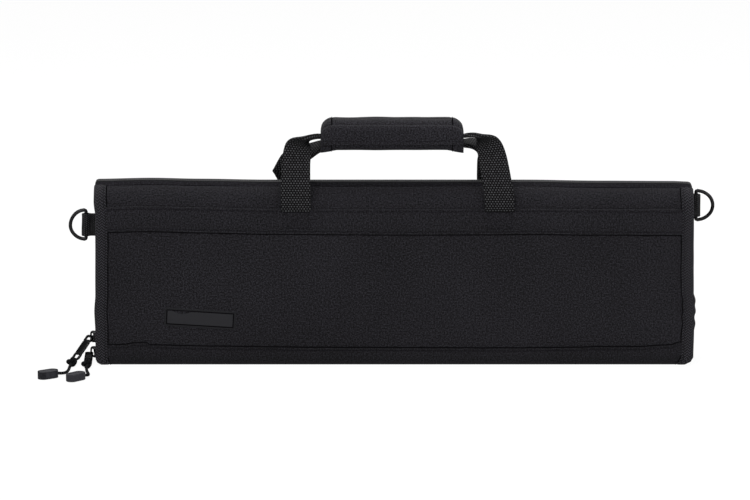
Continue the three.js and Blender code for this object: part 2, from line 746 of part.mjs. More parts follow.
function pullPieces(label, sliderZ, heading, pitch, route) {
  const group = new THREE.Group();
  const slider = placed(mesh(`${label}_slider`, sliderGeometry(), blackMetal()), 0, 0, sliderZ);
  const hangZ = sliderZ - pullDrop;
  const pull = placed(mesh(`${label}_pull`, pullGeometry(), blackMetal()), bailX, 0, hangZ);
  pull.rotation.set(0, -pitch, heading, 'ZYX');
  const [first, last, before] = [route[0], route.at(-1), route.at(-2)];
  const knot = placed(mesh(`${label}_knot`, knotGeometry(), webbing()), first[0], first[1], knotRadius);
  const reach = pullLength * Math.cos(pitch);
  const pullEnd = new THREE.Vector3(
    bailX + reach * Math.cos(heading), reach * Math.sin(heading), knotRadius);
  const away = knot.position.clone().sub(pullEnd).normalize();
  knot.quaternion.setFromUnitVectors(new THREE.Vector3(0, 1, 0), away);
  knot.position.lerp(pullEnd, 1 / 2);
  const cord = mesh(`${label}_cord`, cordGeometry(route), webbing());
  const way = new THREE.Vector3(last[0] - before[0], last[1] - before[1], 0).normalize();
  const endReach = cordEndLength / 2 + seat;
  const cordEnd = placed(mesh(`${label}_cord_end`, cordEndGeometry(), rubber()),
    last[0] + way.x * endReach, last[1] + way.y * endReach, cordEndThickness / 2);
  cordEnd.rotation.z = Math.atan2(way.y, way.x);
  group.add(slider, pull, knot, cord, cordEnd);
  return group;
}

knifeCase.add(
  frontCover, rearCover, frontHandle, rearHandle, spine,
  pullPieces('upper', upperSliderZ, upperPullHeading, upperPullPitch, upperCordRoute),
  pullPieces('lower', lowerSliderZ, lowerPullHeading, lowerPullPitch, lowerCordRoute),
);

export default knifeCase;
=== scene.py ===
"""Dresses a soft padded knife case: cloth covers, trims, zip, handles, grip, rings and pockets.

The frame gives the places and the main sizes. Lengths are in metres, so the sizes here are written in
millimetres times MM.
"""

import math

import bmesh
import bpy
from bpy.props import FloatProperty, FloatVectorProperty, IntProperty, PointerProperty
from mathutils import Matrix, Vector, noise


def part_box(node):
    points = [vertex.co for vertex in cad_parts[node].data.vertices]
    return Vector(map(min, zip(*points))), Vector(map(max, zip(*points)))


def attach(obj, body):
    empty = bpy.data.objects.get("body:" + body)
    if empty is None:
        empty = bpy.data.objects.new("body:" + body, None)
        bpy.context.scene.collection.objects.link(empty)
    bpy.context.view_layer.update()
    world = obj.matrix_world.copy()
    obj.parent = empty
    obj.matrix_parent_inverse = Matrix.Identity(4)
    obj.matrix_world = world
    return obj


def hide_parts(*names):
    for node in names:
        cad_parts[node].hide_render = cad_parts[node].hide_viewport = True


bl_info = {
    "name": "Soft Knife Case",
    "version": (1, 0, 0),
    "blender": (4, 5, 0),
    "location": "View3D > Sidebar > Knife Case",
    "description": "Builds the cloth, webbing, zip, rubber and metal of a soft knife case round its frame",
    "category": "Object",
}

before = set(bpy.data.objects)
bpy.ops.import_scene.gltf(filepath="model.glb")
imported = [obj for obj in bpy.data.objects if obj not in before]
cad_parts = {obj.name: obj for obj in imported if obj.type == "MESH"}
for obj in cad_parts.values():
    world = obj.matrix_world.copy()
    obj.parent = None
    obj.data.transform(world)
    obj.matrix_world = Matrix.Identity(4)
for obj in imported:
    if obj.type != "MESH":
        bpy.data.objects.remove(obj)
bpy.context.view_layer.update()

MM = 0.001
COVERS = ("front", "rear")
SIDES = {"left": -1, "right": 1}
# Away from the front of the case, and up
INWARD = Vector((0, 1, 0))
UPWARD = Vector((0, 0, 1))


def lows(node):
    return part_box(node)[0]


def highs(node):
    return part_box(node)[1]


# Places that the frame's own pieces give, drawn for the front cover
FACE_Y = lows("front_panel").y
HALF_LENGTH = highs("front_panel").x
ZIP_EDGE = highs("front_left_gusset").y
TOP_RADIUS = 20 * MM
ARCH = Vector((0, FACE_Y + TOP_RADIUS, highs("front_zip_tape").z - TOP_RADIUS))
FOLD_RADIUS = 4.5 * MM
FOLD = Vector((0, FACE_Y + FOLD_RADIUS, lows("front_panel").z + FOLD_RADIUS))
END_X = highs("front_right_gusset").x
TRIM_OUT = FACE_Y - lows("front_left_binding").y
BAND_OUT = FACE_Y - lows("front_handle_band").y


# Shader patterns

class Wire:
    """One output of a material's node, so that a pattern is written as a sum."""

    def __init__(self, tree, socket):
        self.tree = tree
        self.socket = socket

    def math(self, operation, *others):
        node = self.tree.nodes.new("ShaderNodeMath")
        node.operation = operation
        for entry, value in zip(node.inputs, (self, *others)):
            if isinstance(value, Wire):
                self.tree.links.new(value.socket, entry)
            else:
                entry.default_value = value
        return Wire(self.tree, node.outputs[0])

    def __add__(self, other):
        return self.math("ADD", other)

    __radd__ = __add__

    def __sub__(self, other):
        return self.math("SUBTRACT", other)

    def __rsub__(self, other):
        return (self * -1) + other

    def __mul__(self, other):
        return self.math("MULTIPLY", other)

    def __truediv__(self, other):
        return self.math("DIVIDE", other)

    def sine(self):
        return self.math("SINE")

    def size(self):
        return self.math("ABSOLUTE")

    def part(self):
        return self.math("FRACT")

    def whole(self):
        return self.math("FLOOR")

    def power(self, other):
        return self.math("POWER", other)


class Finish:
    """A material. Constant values go on the shader's own inputs by name."""

    def __init__(self, name, **values):
        self.material = bpy.data.materials.new(name)
        self.material.use_nodes = True
        self.tree = self.material.node_tree
        self.shader = self.tree.nodes["Principled BSDF"]
        for label, value in values.items():
            self.shader.inputs[label.replace("_", " ").title().replace("Ior", "IOR")].default_value = value

    def node(self, kind, settings=None, inputs=None, output=0):
        node = self.tree.nodes.new(kind)
        for label, value in (settings or {}).items():
            setattr(node, label, value)
        for label, value in (inputs or {}).items():
            entry = next(entry for entry in node.inputs if label in (entry.identifier, entry.name))
            if isinstance(value, Wire):
                self.tree.links.new(value.socket, entry)
            else:
                entry.default_value = value
        return Wire(self.tree, node.outputs[output])

    def feed(self, label, wire):
        self.tree.links.new(wire.socket, self.shader.inputs[label])

    def cloth_place(self):
        """Distances across and along the piece's own cloth."""
        place = self.node("ShaderNodeUVMap")
        parts = {"Vector": place}
        return (self.node("ShaderNodeSeparateXYZ", inputs=parts, output=0),
                self.node("ShaderNodeSeparateXYZ", inputs=parts, output=1), place)

    def body_place(self):
        return self.node("ShaderNodeTexCoord", output=3)

    def grain(self, place, scale, detail=2, roughness=0.5):
        return self.node("ShaderNodeTexNoise", inputs={
            "Vector": place, "Scale": scale, "Detail": detail, "Roughness": roughness})

    def spread(self, wire, low, high, to_low=0, to_high=1):
        """Carries one range to another with soft ends."""
        return self.node("ShaderNodeMapRange", {"interpolation_type": "SMOOTHSTEP"}, {
            "Value": wire, "From Min": low, "From Max": high, "To Min": to_low, "To Max": to_high})

    def colours(self, dark, light, share):
        self.feed("Base Color", self.node("ShaderNodeMix", {"data_type": "RGBA"}, {
            "Factor_Float": share, "A_Color": (*dark, 1), "B_Color": (*light, 1)}, output=2))

    def relief(self, height, depth, strength=1):
        self.feed("Normal", self.node("ShaderNodeBump", inputs={
            "Height": height, "Distance": depth, "Strength": strength}))


def shade(colour, amount):
    return tuple(channel * amount for channel in colour)


def plain_weave(across, along, pitch):
    """Threads that pass over and under each other, from 0 in the gaps to 1 on their crests."""
    warp = (across * (math.pi / pitch)).sine().size()
    weft = (along * (math.pi / pitch)).sine().size()
    over = (((across / pitch).whole() + (along / pitch).whole()) * 0.5).part() * 2
    return warp * (0.45 + over * 0.55) * (weft * 0.4 + 0.6)


def canvas_finish(name, colour, pitch, fuzz, gloss=0.12):
    finish = Finish(name, sheen_weight=fuzz, sheen_roughness=0.45, specular_ior_level=gloss)
    across, along, place = finish.cloth_place()
    threads = plain_weave(across, along, pitch)
    slubs = finish.grain(place, 0.6 / pitch, 3, 0.75)
    wear = finish.grain(finish.body_place(), 14, 4, 0.6)
    finish.colours(shade(colour, 0.06), shade(colour, 2.6), threads * 0.6 + slubs * 5.0 + wear * 0.4 - 2.58)
    finish.feed("Roughness", 0.95 - threads * 0.14)
    finish.relief(threads * 0.7 + slubs * 1.6, 0.3 * MM, 0.8)
    return finish.material


def herringbone_finish(name, colour, pitch, width):
    finish = Finish(name, sheen_weight=0.015, sheen_roughness=0.4, specular_ior_level=0.14)
    across, along, place = finish.cloth_place()
    zigzag = ((across / width).part() - 0.5).size() * width
    ribs = ((along + zigzag * 1.1) * (2 * math.pi / pitch)).sine() * 0.5 + 0.5
    slubs = finish.grain(place, 900, 2)
    finish.colours(shade(colour, 0.05), shade(colour, 5.5), ribs * ribs * ribs * (slubs * 1.6 - 0.1))
    finish.feed("Roughness", 0.86 - ribs * 0.2)
    finish.relief(ribs + slubs * 0.4, 0.35 * MM, 0.8)
    return finish.material


def webbing_finish(name, colour, rib, column):
    """Ribs across the strap, each a row of floats set between those of the next row. The floats' shine is
    painted: they are coloured bright as highlights and the gaps between them dark as shade, while the
    specular stays low.
    """
    finish = Finish(name, specular_ior_level=0.05)
    across, along, place = finish.cloth_place()
    row = along / rib
    shift = (row.whole() * 0.5).part()
    float_wave = ((across / column + shift).part() - 0.5).size() * -2 + 1
    rib_wave = (row.part() - 0.5).size() * -2 + 1
    knuckle = ((float_wave * 1.5).math("MINIMUM", 1).power(0.7)
               * (rib_wave * 1.4).math("MINIMUM", 1).power(0.6))
    fibres = finish.grain(place, 1600, 2)
    # Painted light: patches where the floats' painted highlight is stronger or weaker, as light falls
    # unevenly on the strap
    wear_and_sheen = finish.spread(finish.grain(place, 400, 3, 0.6), 0.35, 0.65, 0.45, 1.0)
    # Painted light and shade: the floats in a bright colour as highlights, the gaps between them near-black
    # as shade
    finish.colours(shade(colour, 0.04), shade(colour, 7),
                   knuckle.power(3.8) * wear_and_sheen * (fibres * 0.5 + 0.75))
    finish.feed("Roughness", 0.78 - knuckle * 0.3 + fibres * 0.06)
    finish.relief(knuckle + fibres * 0.15, 0.5 * MM, 0.9)
    return finish.material


def ribbed_finish(name, colour, rib, sheen):
    """Fine ribs along the strip, as on elastic and zip tape."""
    finish = Finish(name, sheen_weight=sheen, specular_ior_level=0.12)
    across, along, _ = finish.cloth_place()
    ribs = (across * (math.pi / rib)).sine().size()
    cross = (along * (math.pi / rib)).sine().size()
    finish.colours(shade(colour, 0.6), shade(colour, 1.5), ribs * 0.6 + cross * 0.3)
    finish.feed("Roughness", 0.85 - ribs * 0.15)
    finish.relief(ribs + cross * 0.4, 0.25 * MM, 0.8)
    return finish.material


def cord_finish(name, colour, strands, lay):
    """A braid: two sets of strands that wind round the cord in opposite ways."""
    finish = Finish(name, specular_ior_level=0.05)
    across, along, _ = finish.cloth_place()
    turn = across * (strands * math.pi)
    climb = along * (2 * math.pi / lay)
    one = (turn + climb).sine().size()
    other = (turn - climb).sine().size()
    braid = one.math("MAXIMUM", other * 0.8)
    finish.colours(shade(colour, 0.5), shade(colour, 2.0), braid)
    finish.feed("Roughness", 0.92 - braid * 0.15)
    finish.relief(braid, 0.3 * MM, 0.9)
    return finish.material


def rubber_finish(name, colour, grain_size, roughness):
    finish = Finish(name, specular_ior_level=0.08)
    place = finish.body_place()
    pores = finish.grain(place, 1 / grain_size, 3, 0.6)
    dust = finish.grain(place, 120, 4, 0.65)
    finish.colours(shade(colour, 0.85), shade(colour, 1.25), dust * 0.7 + pores * 0.2)
    finish.feed("Roughness", dust * 0.14 + (roughness - 0.07))
    finish.relief(pores, 0.05 * MM, 0.6)
    return finish.material


def metal_finish(name, colour, roughness):
    """Black plated metal with small handling marks."""
    finish = Finish(name, metallic=1, specular_tint=(0.15, 0.15, 0.15, 1))
    place = finish.body_place()
    marks = finish.grain(place, 260, 5, 0.7)
    # Real handling marks: lighter and rougher where the plating is rubbed
    wear_and_sheen = finish.spread(marks, 0.56, 0.75)
    finish.colours(colour, shade(colour, 3), wear_and_sheen)
    finish.feed("Roughness", wear_and_sheen * 0.18 + roughness)
    finish.relief(marks, 0.03 * MM, 0.4)
    return finish.material


def nylon_finish(name, colour, gloss=0.25):
    finish = Finish(name, specular_ior_level=gloss)
    place = finish.body_place()
    dust = finish.grain(place, 300, 3)
    finish.colours(shade(colour, 0.8), shade(colour, 1.6), dust)
    finish.feed("Roughness", dust * 0.15 + (0.75 - gloss * 1.6))
    return finish.material


def pile_finish(name, colour):
    """Hook or loop tape: a dense random pile."""
    finish = Finish(name, sheen_weight=0.3, specular_ior_level=0.2)
    place = finish.body_place()
    pile = finish.grain(place, 1500, 4, 0.8)
    finish.colours(shade(colour, 0.5), shade(colour, 2.0), finish.spread(pile, 0.35, 0.7))
    finish.feed("Roughness", pile * 0.1 + 0.85)
    finish.relief(pile, 0.8 * MM, 1)
    return finish.material


def foam_finish(name, colour):
    finish = Finish(name, specular_ior_level=0.2)
    place = finish.body_place()
    cells = finish.node("ShaderNodeTexVoronoi", inputs={"Vector": place, "Scale": 1200})
    finish.colours(shade(colour, 0.7), shade(colour, 1.2), cells)
    finish.feed("Roughness", cells * 0.1 + 0.85)
    finish.relief(cells, 0.2 * MM, 0.7)
    return finish.material


def board_finish(name, colour):
    finish = Finish(name, specular_ior_level=0.4)
    place = finish.body_place()
    pebble = finish.grain(place, 700, 3)
    finish.colours(shade(colour, 0.85), shade(colour, 1.15), pebble)
    finish.feed("Roughness", pebble * 0.12 + 0.5)
    finish.relief(pebble, 0.08 * MM, 0.6)
    return finish.material


# Making and finishing pieces

def alone(piece):
    bpy.ops.object.select_all(action="DESELECT")
    piece.select_set(True)
    bpy.context.view_layer.objects.active = piece
    return piece


def added(name):
    """The piece that the last operator added, under its own name."""
    piece = bpy.context.object
    piece.name = piece.data.name = name
    return piece


def primitive(name, operator, **settings):
    bpy.ops.object.select_all(action="DESELECT")
    operator(**settings)
    return added(name)


def linked(name, data):
    piece = bpy.data.objects.new(name, data)
    bpy.context.collection.objects.link(piece)
    return piece


def joined(name, first, *others):
    alone(first)
    for other in others:
        other.select_set(True)
    bpy.ops.object.join()
    return added(name)


def with_modifier(piece, kind, **settings):
    alone(piece)
    modifier = piece.modifiers.new(kind, kind)
    for label, value in settings.items():
        setattr(modifier, label, value)
    bpy.ops.object.modifier_apply(modifier=modifier.name)
    return piece


def smoothed(piece, levels):
    return with_modifier(piece, "SUBSURF", levels=levels, render_levels=levels)


def welded(piece, capped=False):
    """Closes seams, fills open ends and turns every face outwards."""
    alone(piece)
    bpy.ops.object.mode_set(mode="EDIT")
    bpy.ops.mesh.select_all(action="SELECT")
    bpy.ops.mesh.remove_doubles(threshold=0.002 * MM)
    if capped:
        bpy.ops.mesh.fill_holes(sides=0)
    bpy.ops.mesh.select_all(action="SELECT")
    bpy.ops.mesh.normals_make_consistent(inside=False)
    bpy.ops.object.mode_set(mode="OBJECT")
    return piece


def loft(name, rows):
    """A grid put through rows of points. Its pattern runs in real lengths along the cloth."""
    columns = len(rows[0])
    piece = primitive(name, bpy.ops.mesh.primitive_grid_add,
                      x_subdivisions=columns - 1, y_subdivisions=len(rows) - 1, size=1)
    climb = [0]
    for before, after in zip(rows, rows[1:]):
        steps = [(b - a).length for a, b in zip(before, after)]
        climb.append(climb[-1] + sum(steps) / len(steps))
    widths = []
    for row in rows:
        width = [0]
        for a, b in zip(row, row[1:]):
            width.append(width[-1] + (b - a).length)
        widths.append(width)
    spots = [(round((corner.co.x + 0.5) * (columns - 1)), round((corner.co.y + 0.5) * (len(rows) - 1)))
             for corner in piece.data.vertices]
    layer = piece.data.uv_layers[0]
    for loop in piece.data.loops:
        column, row = spots[loop.vertex_index]
        layer.data[loop.index].uv = (widths[row][column], climb[row])
    for corner, (column, row) in zip(piece.data.vertices, spots):
        corner.co = rows[row][column]
    return piece


def closed_loft(name, rows, capped=True):
    """A loft round closed sections, with its ends filled."""
    return welded(loft(name, [[*row, row[0].copy()] for row in rows]), capped)


def way_at(points, index):
    """The direction of a path at one of its points."""
    return (points[min(index + 1, len(points) - 1)] - points[max(index - 1, 0)]).normalized()


def ring_turns(sides):
    return [2 * math.pi * side / sides for side in range(sides)]


def clamped(value):
    return min(max(value, 0), 1)


def tube_rows(points, radius, sides):
    """Rings round a path. The radius is one number or one for each point."""
    rows = []
    normal = None
    for index, point in enumerate(points):
        way = way_at(points, index)
        if normal is None:
            normal = way.orthogonal().normalized()
        normal = (normal - way * normal.dot(way)).normalized()
        across = way.cross(normal)
        reach = radius[index] if isinstance(radius, (list, tuple)) else radius
        rows.append([point + (normal * math.cos(turn) + across * math.sin(turn)) * reach
                     for turn in ring_turns(sides)])
    return rows


def ring_tube(name, points, radius, sides):
    """A tube round a closed path in one plane."""
    rows = []
    count = len(points)
    flat = (points[1] - points[0]).cross(points[count // 3] - points[0]).normalized()
    for index, point in enumerate(points):
        way = (points[(index + 1) % count] - points[index - 1]).normalized()
        outward = way.cross(flat)
        rows.append([point + (outward * math.cos(turn) + flat * math.sin(turn)) * radius
                     for turn in ring_turns(sides)])
    rows.append([corner.copy() for corner in rows[0]])
    return closed_loft(name, rows, capped=False)


def smooth_path(points, steps):
    """A soft curve through points of any length, as lists of numbers."""
    out = []
    last = len(points) - 1
    for step in range(steps + 1):
        place = last * step / steps
        index = min(int(place), last - 1)
        share = place - index
        a, b, c, d = (points[min(max(index + shift, 0), last)] for shift in (-1, 0, 1, 2))
        out.append([0.5 * (2 * q + (r - p) * share + (2 * p - 5 * q + 4 * r - s) * share ** 2
                           + (3 * q - p - 3 * r + s) * share ** 3) for p, q, r, s in zip(a, b, c, d)])
    return out


def curve_value(pairs, at):
    """A soft value between pairs of place and value."""
    for (left, low), (right, high) in zip(pairs, pairs[1:]):
        if at <= right:
            share = clamped((at - left) / (right - left))
            return low + (high - low) * share * share * (3 - 2 * share)
    return pairs[-1][1]


def copies(name, model, places):
    """One mesh with a copy of the model's mesh at each place."""
    corners, faces = [], []
    shape = [corner.co.copy() for corner in model.data.vertices]
    sides = [tuple(face.vertices) for face in model.data.polygons]
    for place in places:
        start = len(corners)
        corners += [place @ corner for corner in shape]
        faces += [tuple(start + index for index in side) for side in sides]
    data = bpy.data.meshes.new(name)
    data.from_pydata(corners, [], faces)
    bpy.data.objects.remove(model)
    return linked(name, data)


def turned_to(along, outward, origin):
    """A place whose X runs along and whose Z looks outward."""
    along = along.normalized()
    side = outward.cross(along).normalized()
    up = along.cross(side)
    return Matrix.Translation(origin) @ Matrix((along, side, up)).transposed().to_4x4()


# How the photographed case has settled, in millimetres: its ends lean and its top drops to the right
SETTLED_BODIES = ("front_cover", "rear_cover", "left_ring", "right_ring", "upper_slider", "lower_slider")
END_LEAN = {
    -1: ((0, 4.6), (2, 2.6), (5, 1.5), (30, 1.5), (46, 0.9), (62, 2.0), (112, 2.6), (126, 3.1),
         (142, 1.6), (160, 1.6)),
    1: ((0, -7), (3, -3.2), (7, -1.4), (30, -1.1), (37, -0.1), (42.5, -1.0), (48, 0.1), (53, -0.7),
        (57, -0.2), (64, -1.9), (90, -2.3), (110, -2.6), (140, -2.8), (160, -3.2)),
}
TOP_RISE = ((-257, 0.7), (-208, 1.6), (-165, 0.8), (-110, 0), (110, 0), (175, -0.9), (240, -1.2),
            (257, -1.8))
LEAN_START = 150 * MM
LEAN_RUN = 100 * MM
RISE_RUN = 110 * MM


def settled(place):
    """Moves a point of the straight case to where it has settled."""
    side = 1 if place.x > 0 else -1
    share = clamped((abs(place.x) - LEAN_START) / LEAN_RUN)
    lean = curve_value(END_LEAN[side], place.z / MM) * MM * share * share
    rise = curve_value(TOP_RISE, place.x / MM) * MM * clamped(place.z / RISE_RUN)
    return Vector((place.x + lean, place.y, place.z + rise))


# Pieces of these bodies are modelled as if they faced the front, and then turned to the back
TURNED_BODIES = ("rear_cover", "rear_handle", "right_ring")


def dress(piece, body, slot, finish, *nodes, angle=40):
    """Puts a finished piece on its body, in its shared finish, in place of the frame's pieces."""
    alone(piece)
    if body in TURNED_BODIES:
        piece.rotation_euler.z = math.pi
    bpy.ops.object.transform_apply(location=True, rotation=True, scale=True)
    if body in SETTLED_BODIES:
        for corner in piece.data.vertices:
            corner.co = settled(corner.co)
    bpy.ops.object.shade_smooth_by_angle(angle=math.radians(angle))
    piece.data.materials.clear()
    piece.data.materials.append(shared_finish(finish))
    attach(piece, body)
    if nodes:
        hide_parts(*nodes)
    return piece


def stitches(name, lines, pitch=3.3 * MM, length=2.5 * MM, radius=0.3 * MM):
    """Thread laid in short stitches along lines of points, each with its outward direction."""
    model = primitive(name + "_model", bpy.ops.mesh.primitive_uv_sphere_add,
                      segments=6, ring_count=4, radius=1)
    for corner in model.data.vertices:
        corner.co = Vector((corner.co.z * length / 2, -corner.co.y * radius, corner.co.x * radius))
    places = []
    for line in lines:
        carry = pitch / 2
        for (start, out), (end, _) in zip(line, line[1:]):
            span = (end - start).length
            if span == 0:
                continue
            way = (end - start) / span
            while carry <= span:
                places.append(turned_to(way, out, start + way * carry + out * radius * 0.2))
                carry += pitch
            carry -= span
    return copies(name, model, places)


# The case's wall, as distances up the front cloth
STRAIGHT = ARCH.z - FOLD.z
ZIP_CLIMB = STRAIGHT + TOP_RADIUS * math.acos((ARCH.y - ZIP_EDGE) / TOP_RADIUS)


def wall(climb, out=0):
    """Place and outward direction at a distance up the front. Below 0 it turns under the fold."""
    if climb < 0:
        turn = -climb / FOLD_RADIUS
        outward = Vector((0, -math.cos(turn), -math.sin(turn)))
        return FOLD + outward * (FOLD_RADIUS + out), outward
    if climb <= STRAIGHT:
        return Vector((0, FACE_Y - out, FOLD.z + climb)), Vector((0, -1, 0))
    turn = (climb - STRAIGHT) / TOP_RADIUS
    outward = Vector((0, -math.cos(turn), math.sin(turn)))
    return ARCH + outward * (TOP_RADIUS + out), outward


def sway(x, climb, seed):
    """Slow swell of the padded wall, shared by the cloth and all that is sewn to it."""
    fade = clamped(climb / (20 * MM)) * clamped((HALF_LENGTH + 4 * MM - abs(x)) / (25 * MM))
    swell = noise.noise(Vector((x * 9, climb * 14, seed)))
    swell += 0.4 * noise.noise(Vector((x * 30, climb * 26, seed + 7)))
    return swell * fade * 0.8 * MM


def face(x, climb, out=0, seed=0):
    """A point on the cloth, or out from it, with its outward direction."""
    place, outward = wall(climb, out + sway(x, climb, seed))
    place.x = x
    return place, outward


def climb_at(height):
    return height - FOLD.z


# Sizes and colours that a user would change

class CaseCloth(bpy.types.PropertyGroup):
    canvas: FloatVectorProperty(
        name="Canvas", description="Colour of the outer canvas", subtype="COLOR",
        default=(0.0086, 0.0082, 0.0101))
    trim: FloatVectorProperty(
        name="Trim", description="Colour of the bands and the grip", subtype="COLOR",
        default=(0.0086, 0.0082, 0.0101))
    weave: FloatProperty(
        name="Weave", description="Distance between the canvas's threads", unit="LENGTH", default=0.75 * MM)
    puff: FloatProperty(
        name="Puff", description="How far the padding may swell the cloth", unit="LENGTH", default=1.5 * MM)
    pressure: FloatProperty(
        name="Pressure", description="Pressure of the padding behind the cloth", default=1.2)


class CaseHandle(bpy.types.PropertyGroup):
    webbing: FloatVectorProperty(
        name="Webbing", description="Colour of the straps", subtype="COLOR",
        default=(0.0098, 0.0098, 0.0104))
    rib: FloatProperty(
        name="Rib", description="Distance between the webbing's ribs", unit="LENGTH", default=2.0 * MM)
    column: FloatProperty(
        name="Column", description="Distance between the floats in a rib", unit="LENGTH", default=2.4 * MM)


class CaseStage(bpy.types.PropertyGroup):
    distance: FloatProperty(
        name="Distance", description="From the camera to the case's front", unit="LENGTH", default=3.5)
    azimuth: FloatProperty(
        name="Azimuth", description="How far the camera stands to the right", default=0)
    elevation: FloatProperty(
        name="Elevation", description="How far the camera stands above the table", default=12)
    view_width: FloatProperty(
        name="View width", description="Width of the view at the case's front", unit="LENGTH",
        default=637.5 * MM)
    seed: IntProperty(
        name="Seed", description="Seed of the small irregularities", default=3)


class StageOperator(bpy.types.Operator):
    """Adds the floor, the lamps, the world and the camera"""
    bl_idname = "knifecase.stage"
    bl_label = "Stage"

    # The view's middle, measured from the middle of the case's lower front edge
    middle_right = -16.6 * MM
    middle_up = 98.4 * MM

    def execute(self, context):
        settings = context.scene.case_stage
        self.add_floor()
        self.add_world(context)
        self.add_lamp("key", (-0.9, -1.5, 1.5), 1.6, 30)
        self.add_lamp("fill", (1.3, -1.1, 0.9), 1.4, 13)
        self.add_lamp("top", (0.1, 0.4, 1.7), 1.5, 26)
        self.add_camera(context, settings)
        context.scene.view_settings.view_transform = "Standard"
        return {"FINISHED"}

    def add_floor(self):
        floor = primitive("floor", bpy.ops.mesh.primitive_plane_add, size=12, location=(0, 0, -0.4 * MM))
        finish = Finish("floor_paper", roughness=0.9, specular_ior_level=0.1)
        finish.shader.inputs["Base Color"].default_value = (0.82, 0.82, 0.82, 1)
        seen = self.seen(finish.tree)
        glow = finish.node("ShaderNodeEmission", inputs={"Color": (1, 1, 1, 1), "Strength": 1.03})
        soft = finish.node("ShaderNodeMixShader", inputs={
            "Fac": seen * 0.9,
            "Shader": Wire(finish.tree, finish.shader.outputs[0]), "Shader_001": glow})
        output = finish.tree.nodes["Material Output"]
        finish.tree.links.new(soft.socket, output.inputs["Surface"])
        floor.data.materials.append(finish.material)

    def add_world(self, context):
        world = bpy.data.worlds.new("studio")
        context.scene.world = world
        world.use_nodes = True
        tree = world.node_tree
        light = tree.nodes["Background"]
        light.inputs["Color"].default_value = (1, 1, 1, 1)
        tree.links.new((self.seen(tree) * 0.6 + 0.42).socket, light.inputs["Strength"])

    def seen(self, tree):
        """1 for what the camera sees straight, in a reflection or through glass, and else 0."""
        path = tree.nodes.new("ShaderNodeLightPath")
        camera, glossy, through = (Wire(tree, path.outputs[label]) for label in (
            "Is Camera Ray", "Is Glossy Ray", "Is Transmission Ray"))
        return camera.math("MAXIMUM", glossy).math("MAXIMUM", through)

    def add_lamp(self, name, place, size, power):
        bpy.ops.object.light_add(type="AREA", location=place)
        lamp = added(name)
        lamp.data.energy = power
        lamp.data.shape = "SQUARE"
        lamp.data.size = size
        lamp.rotation_euler = (Vector((0, 0, 0.08)) - Vector(place)).to_track_quat("-Z", "Y").to_euler()

    def add_camera(self, context, settings):
        turn, lift = math.radians(settings.azimuth), math.radians(settings.elevation)
        back = Vector((math.sin(turn) * math.cos(lift), -math.cos(turn) * math.cos(lift), math.sin(lift)))
        right = Vector((math.cos(turn), math.sin(turn), 0))
        up = back.cross(right)
        edge = Vector((0, lows("front_base_strip").y, 0))
        middle = edge + right * self.middle_right + up * self.middle_up
        # The point straight ahead that lies in the plane of the case's front
        middle += back * ((middle.y - edge.y) / -back.y)
        bpy.ops.object.camera_add(location=middle + back * settings.distance)
        camera = added("camera")
        camera.rotation_euler = Matrix((right, up, back)).transposed().to_euler()
        camera.data.lens = camera.data.sensor_width * settings.distance / settings.view_width
        camera.data.clip_end = 50
        context.scene.camera = camera


# Cords and pulls

CORD_DIAMETER = 2.6 * MM
UPPER_ROUTE = [(x * MM, y * MM, z * MM) for x, y, z in (
    (-276, -31.2, 3), (-276.4, -36, 2.3), (-276.7, -41.5, 1.7), (-277, -47, 1.5), (-277.6, -52.4, 1.5),
    (-279, -57.4, 1.7), (-281.6, -61.4, 2.2), (-284.8, -63.6, 2.8))]
LOWER_ROUTE = [(x * MM, y * MM, z * MM) for x, y, z in (
    (-261.9, -37.8, 3), (-261.8, -43, 2.4), (-261.4, -48.6, 1.8), (-260.6, -53.6, 1.5), (-259.7, -58, 1.5),
    (-259, -62, 1.5), (-258.9, -65.5, 1.8), (-259.8, -68.5, 2.3), (-261.9, -70.6, 2.8))]


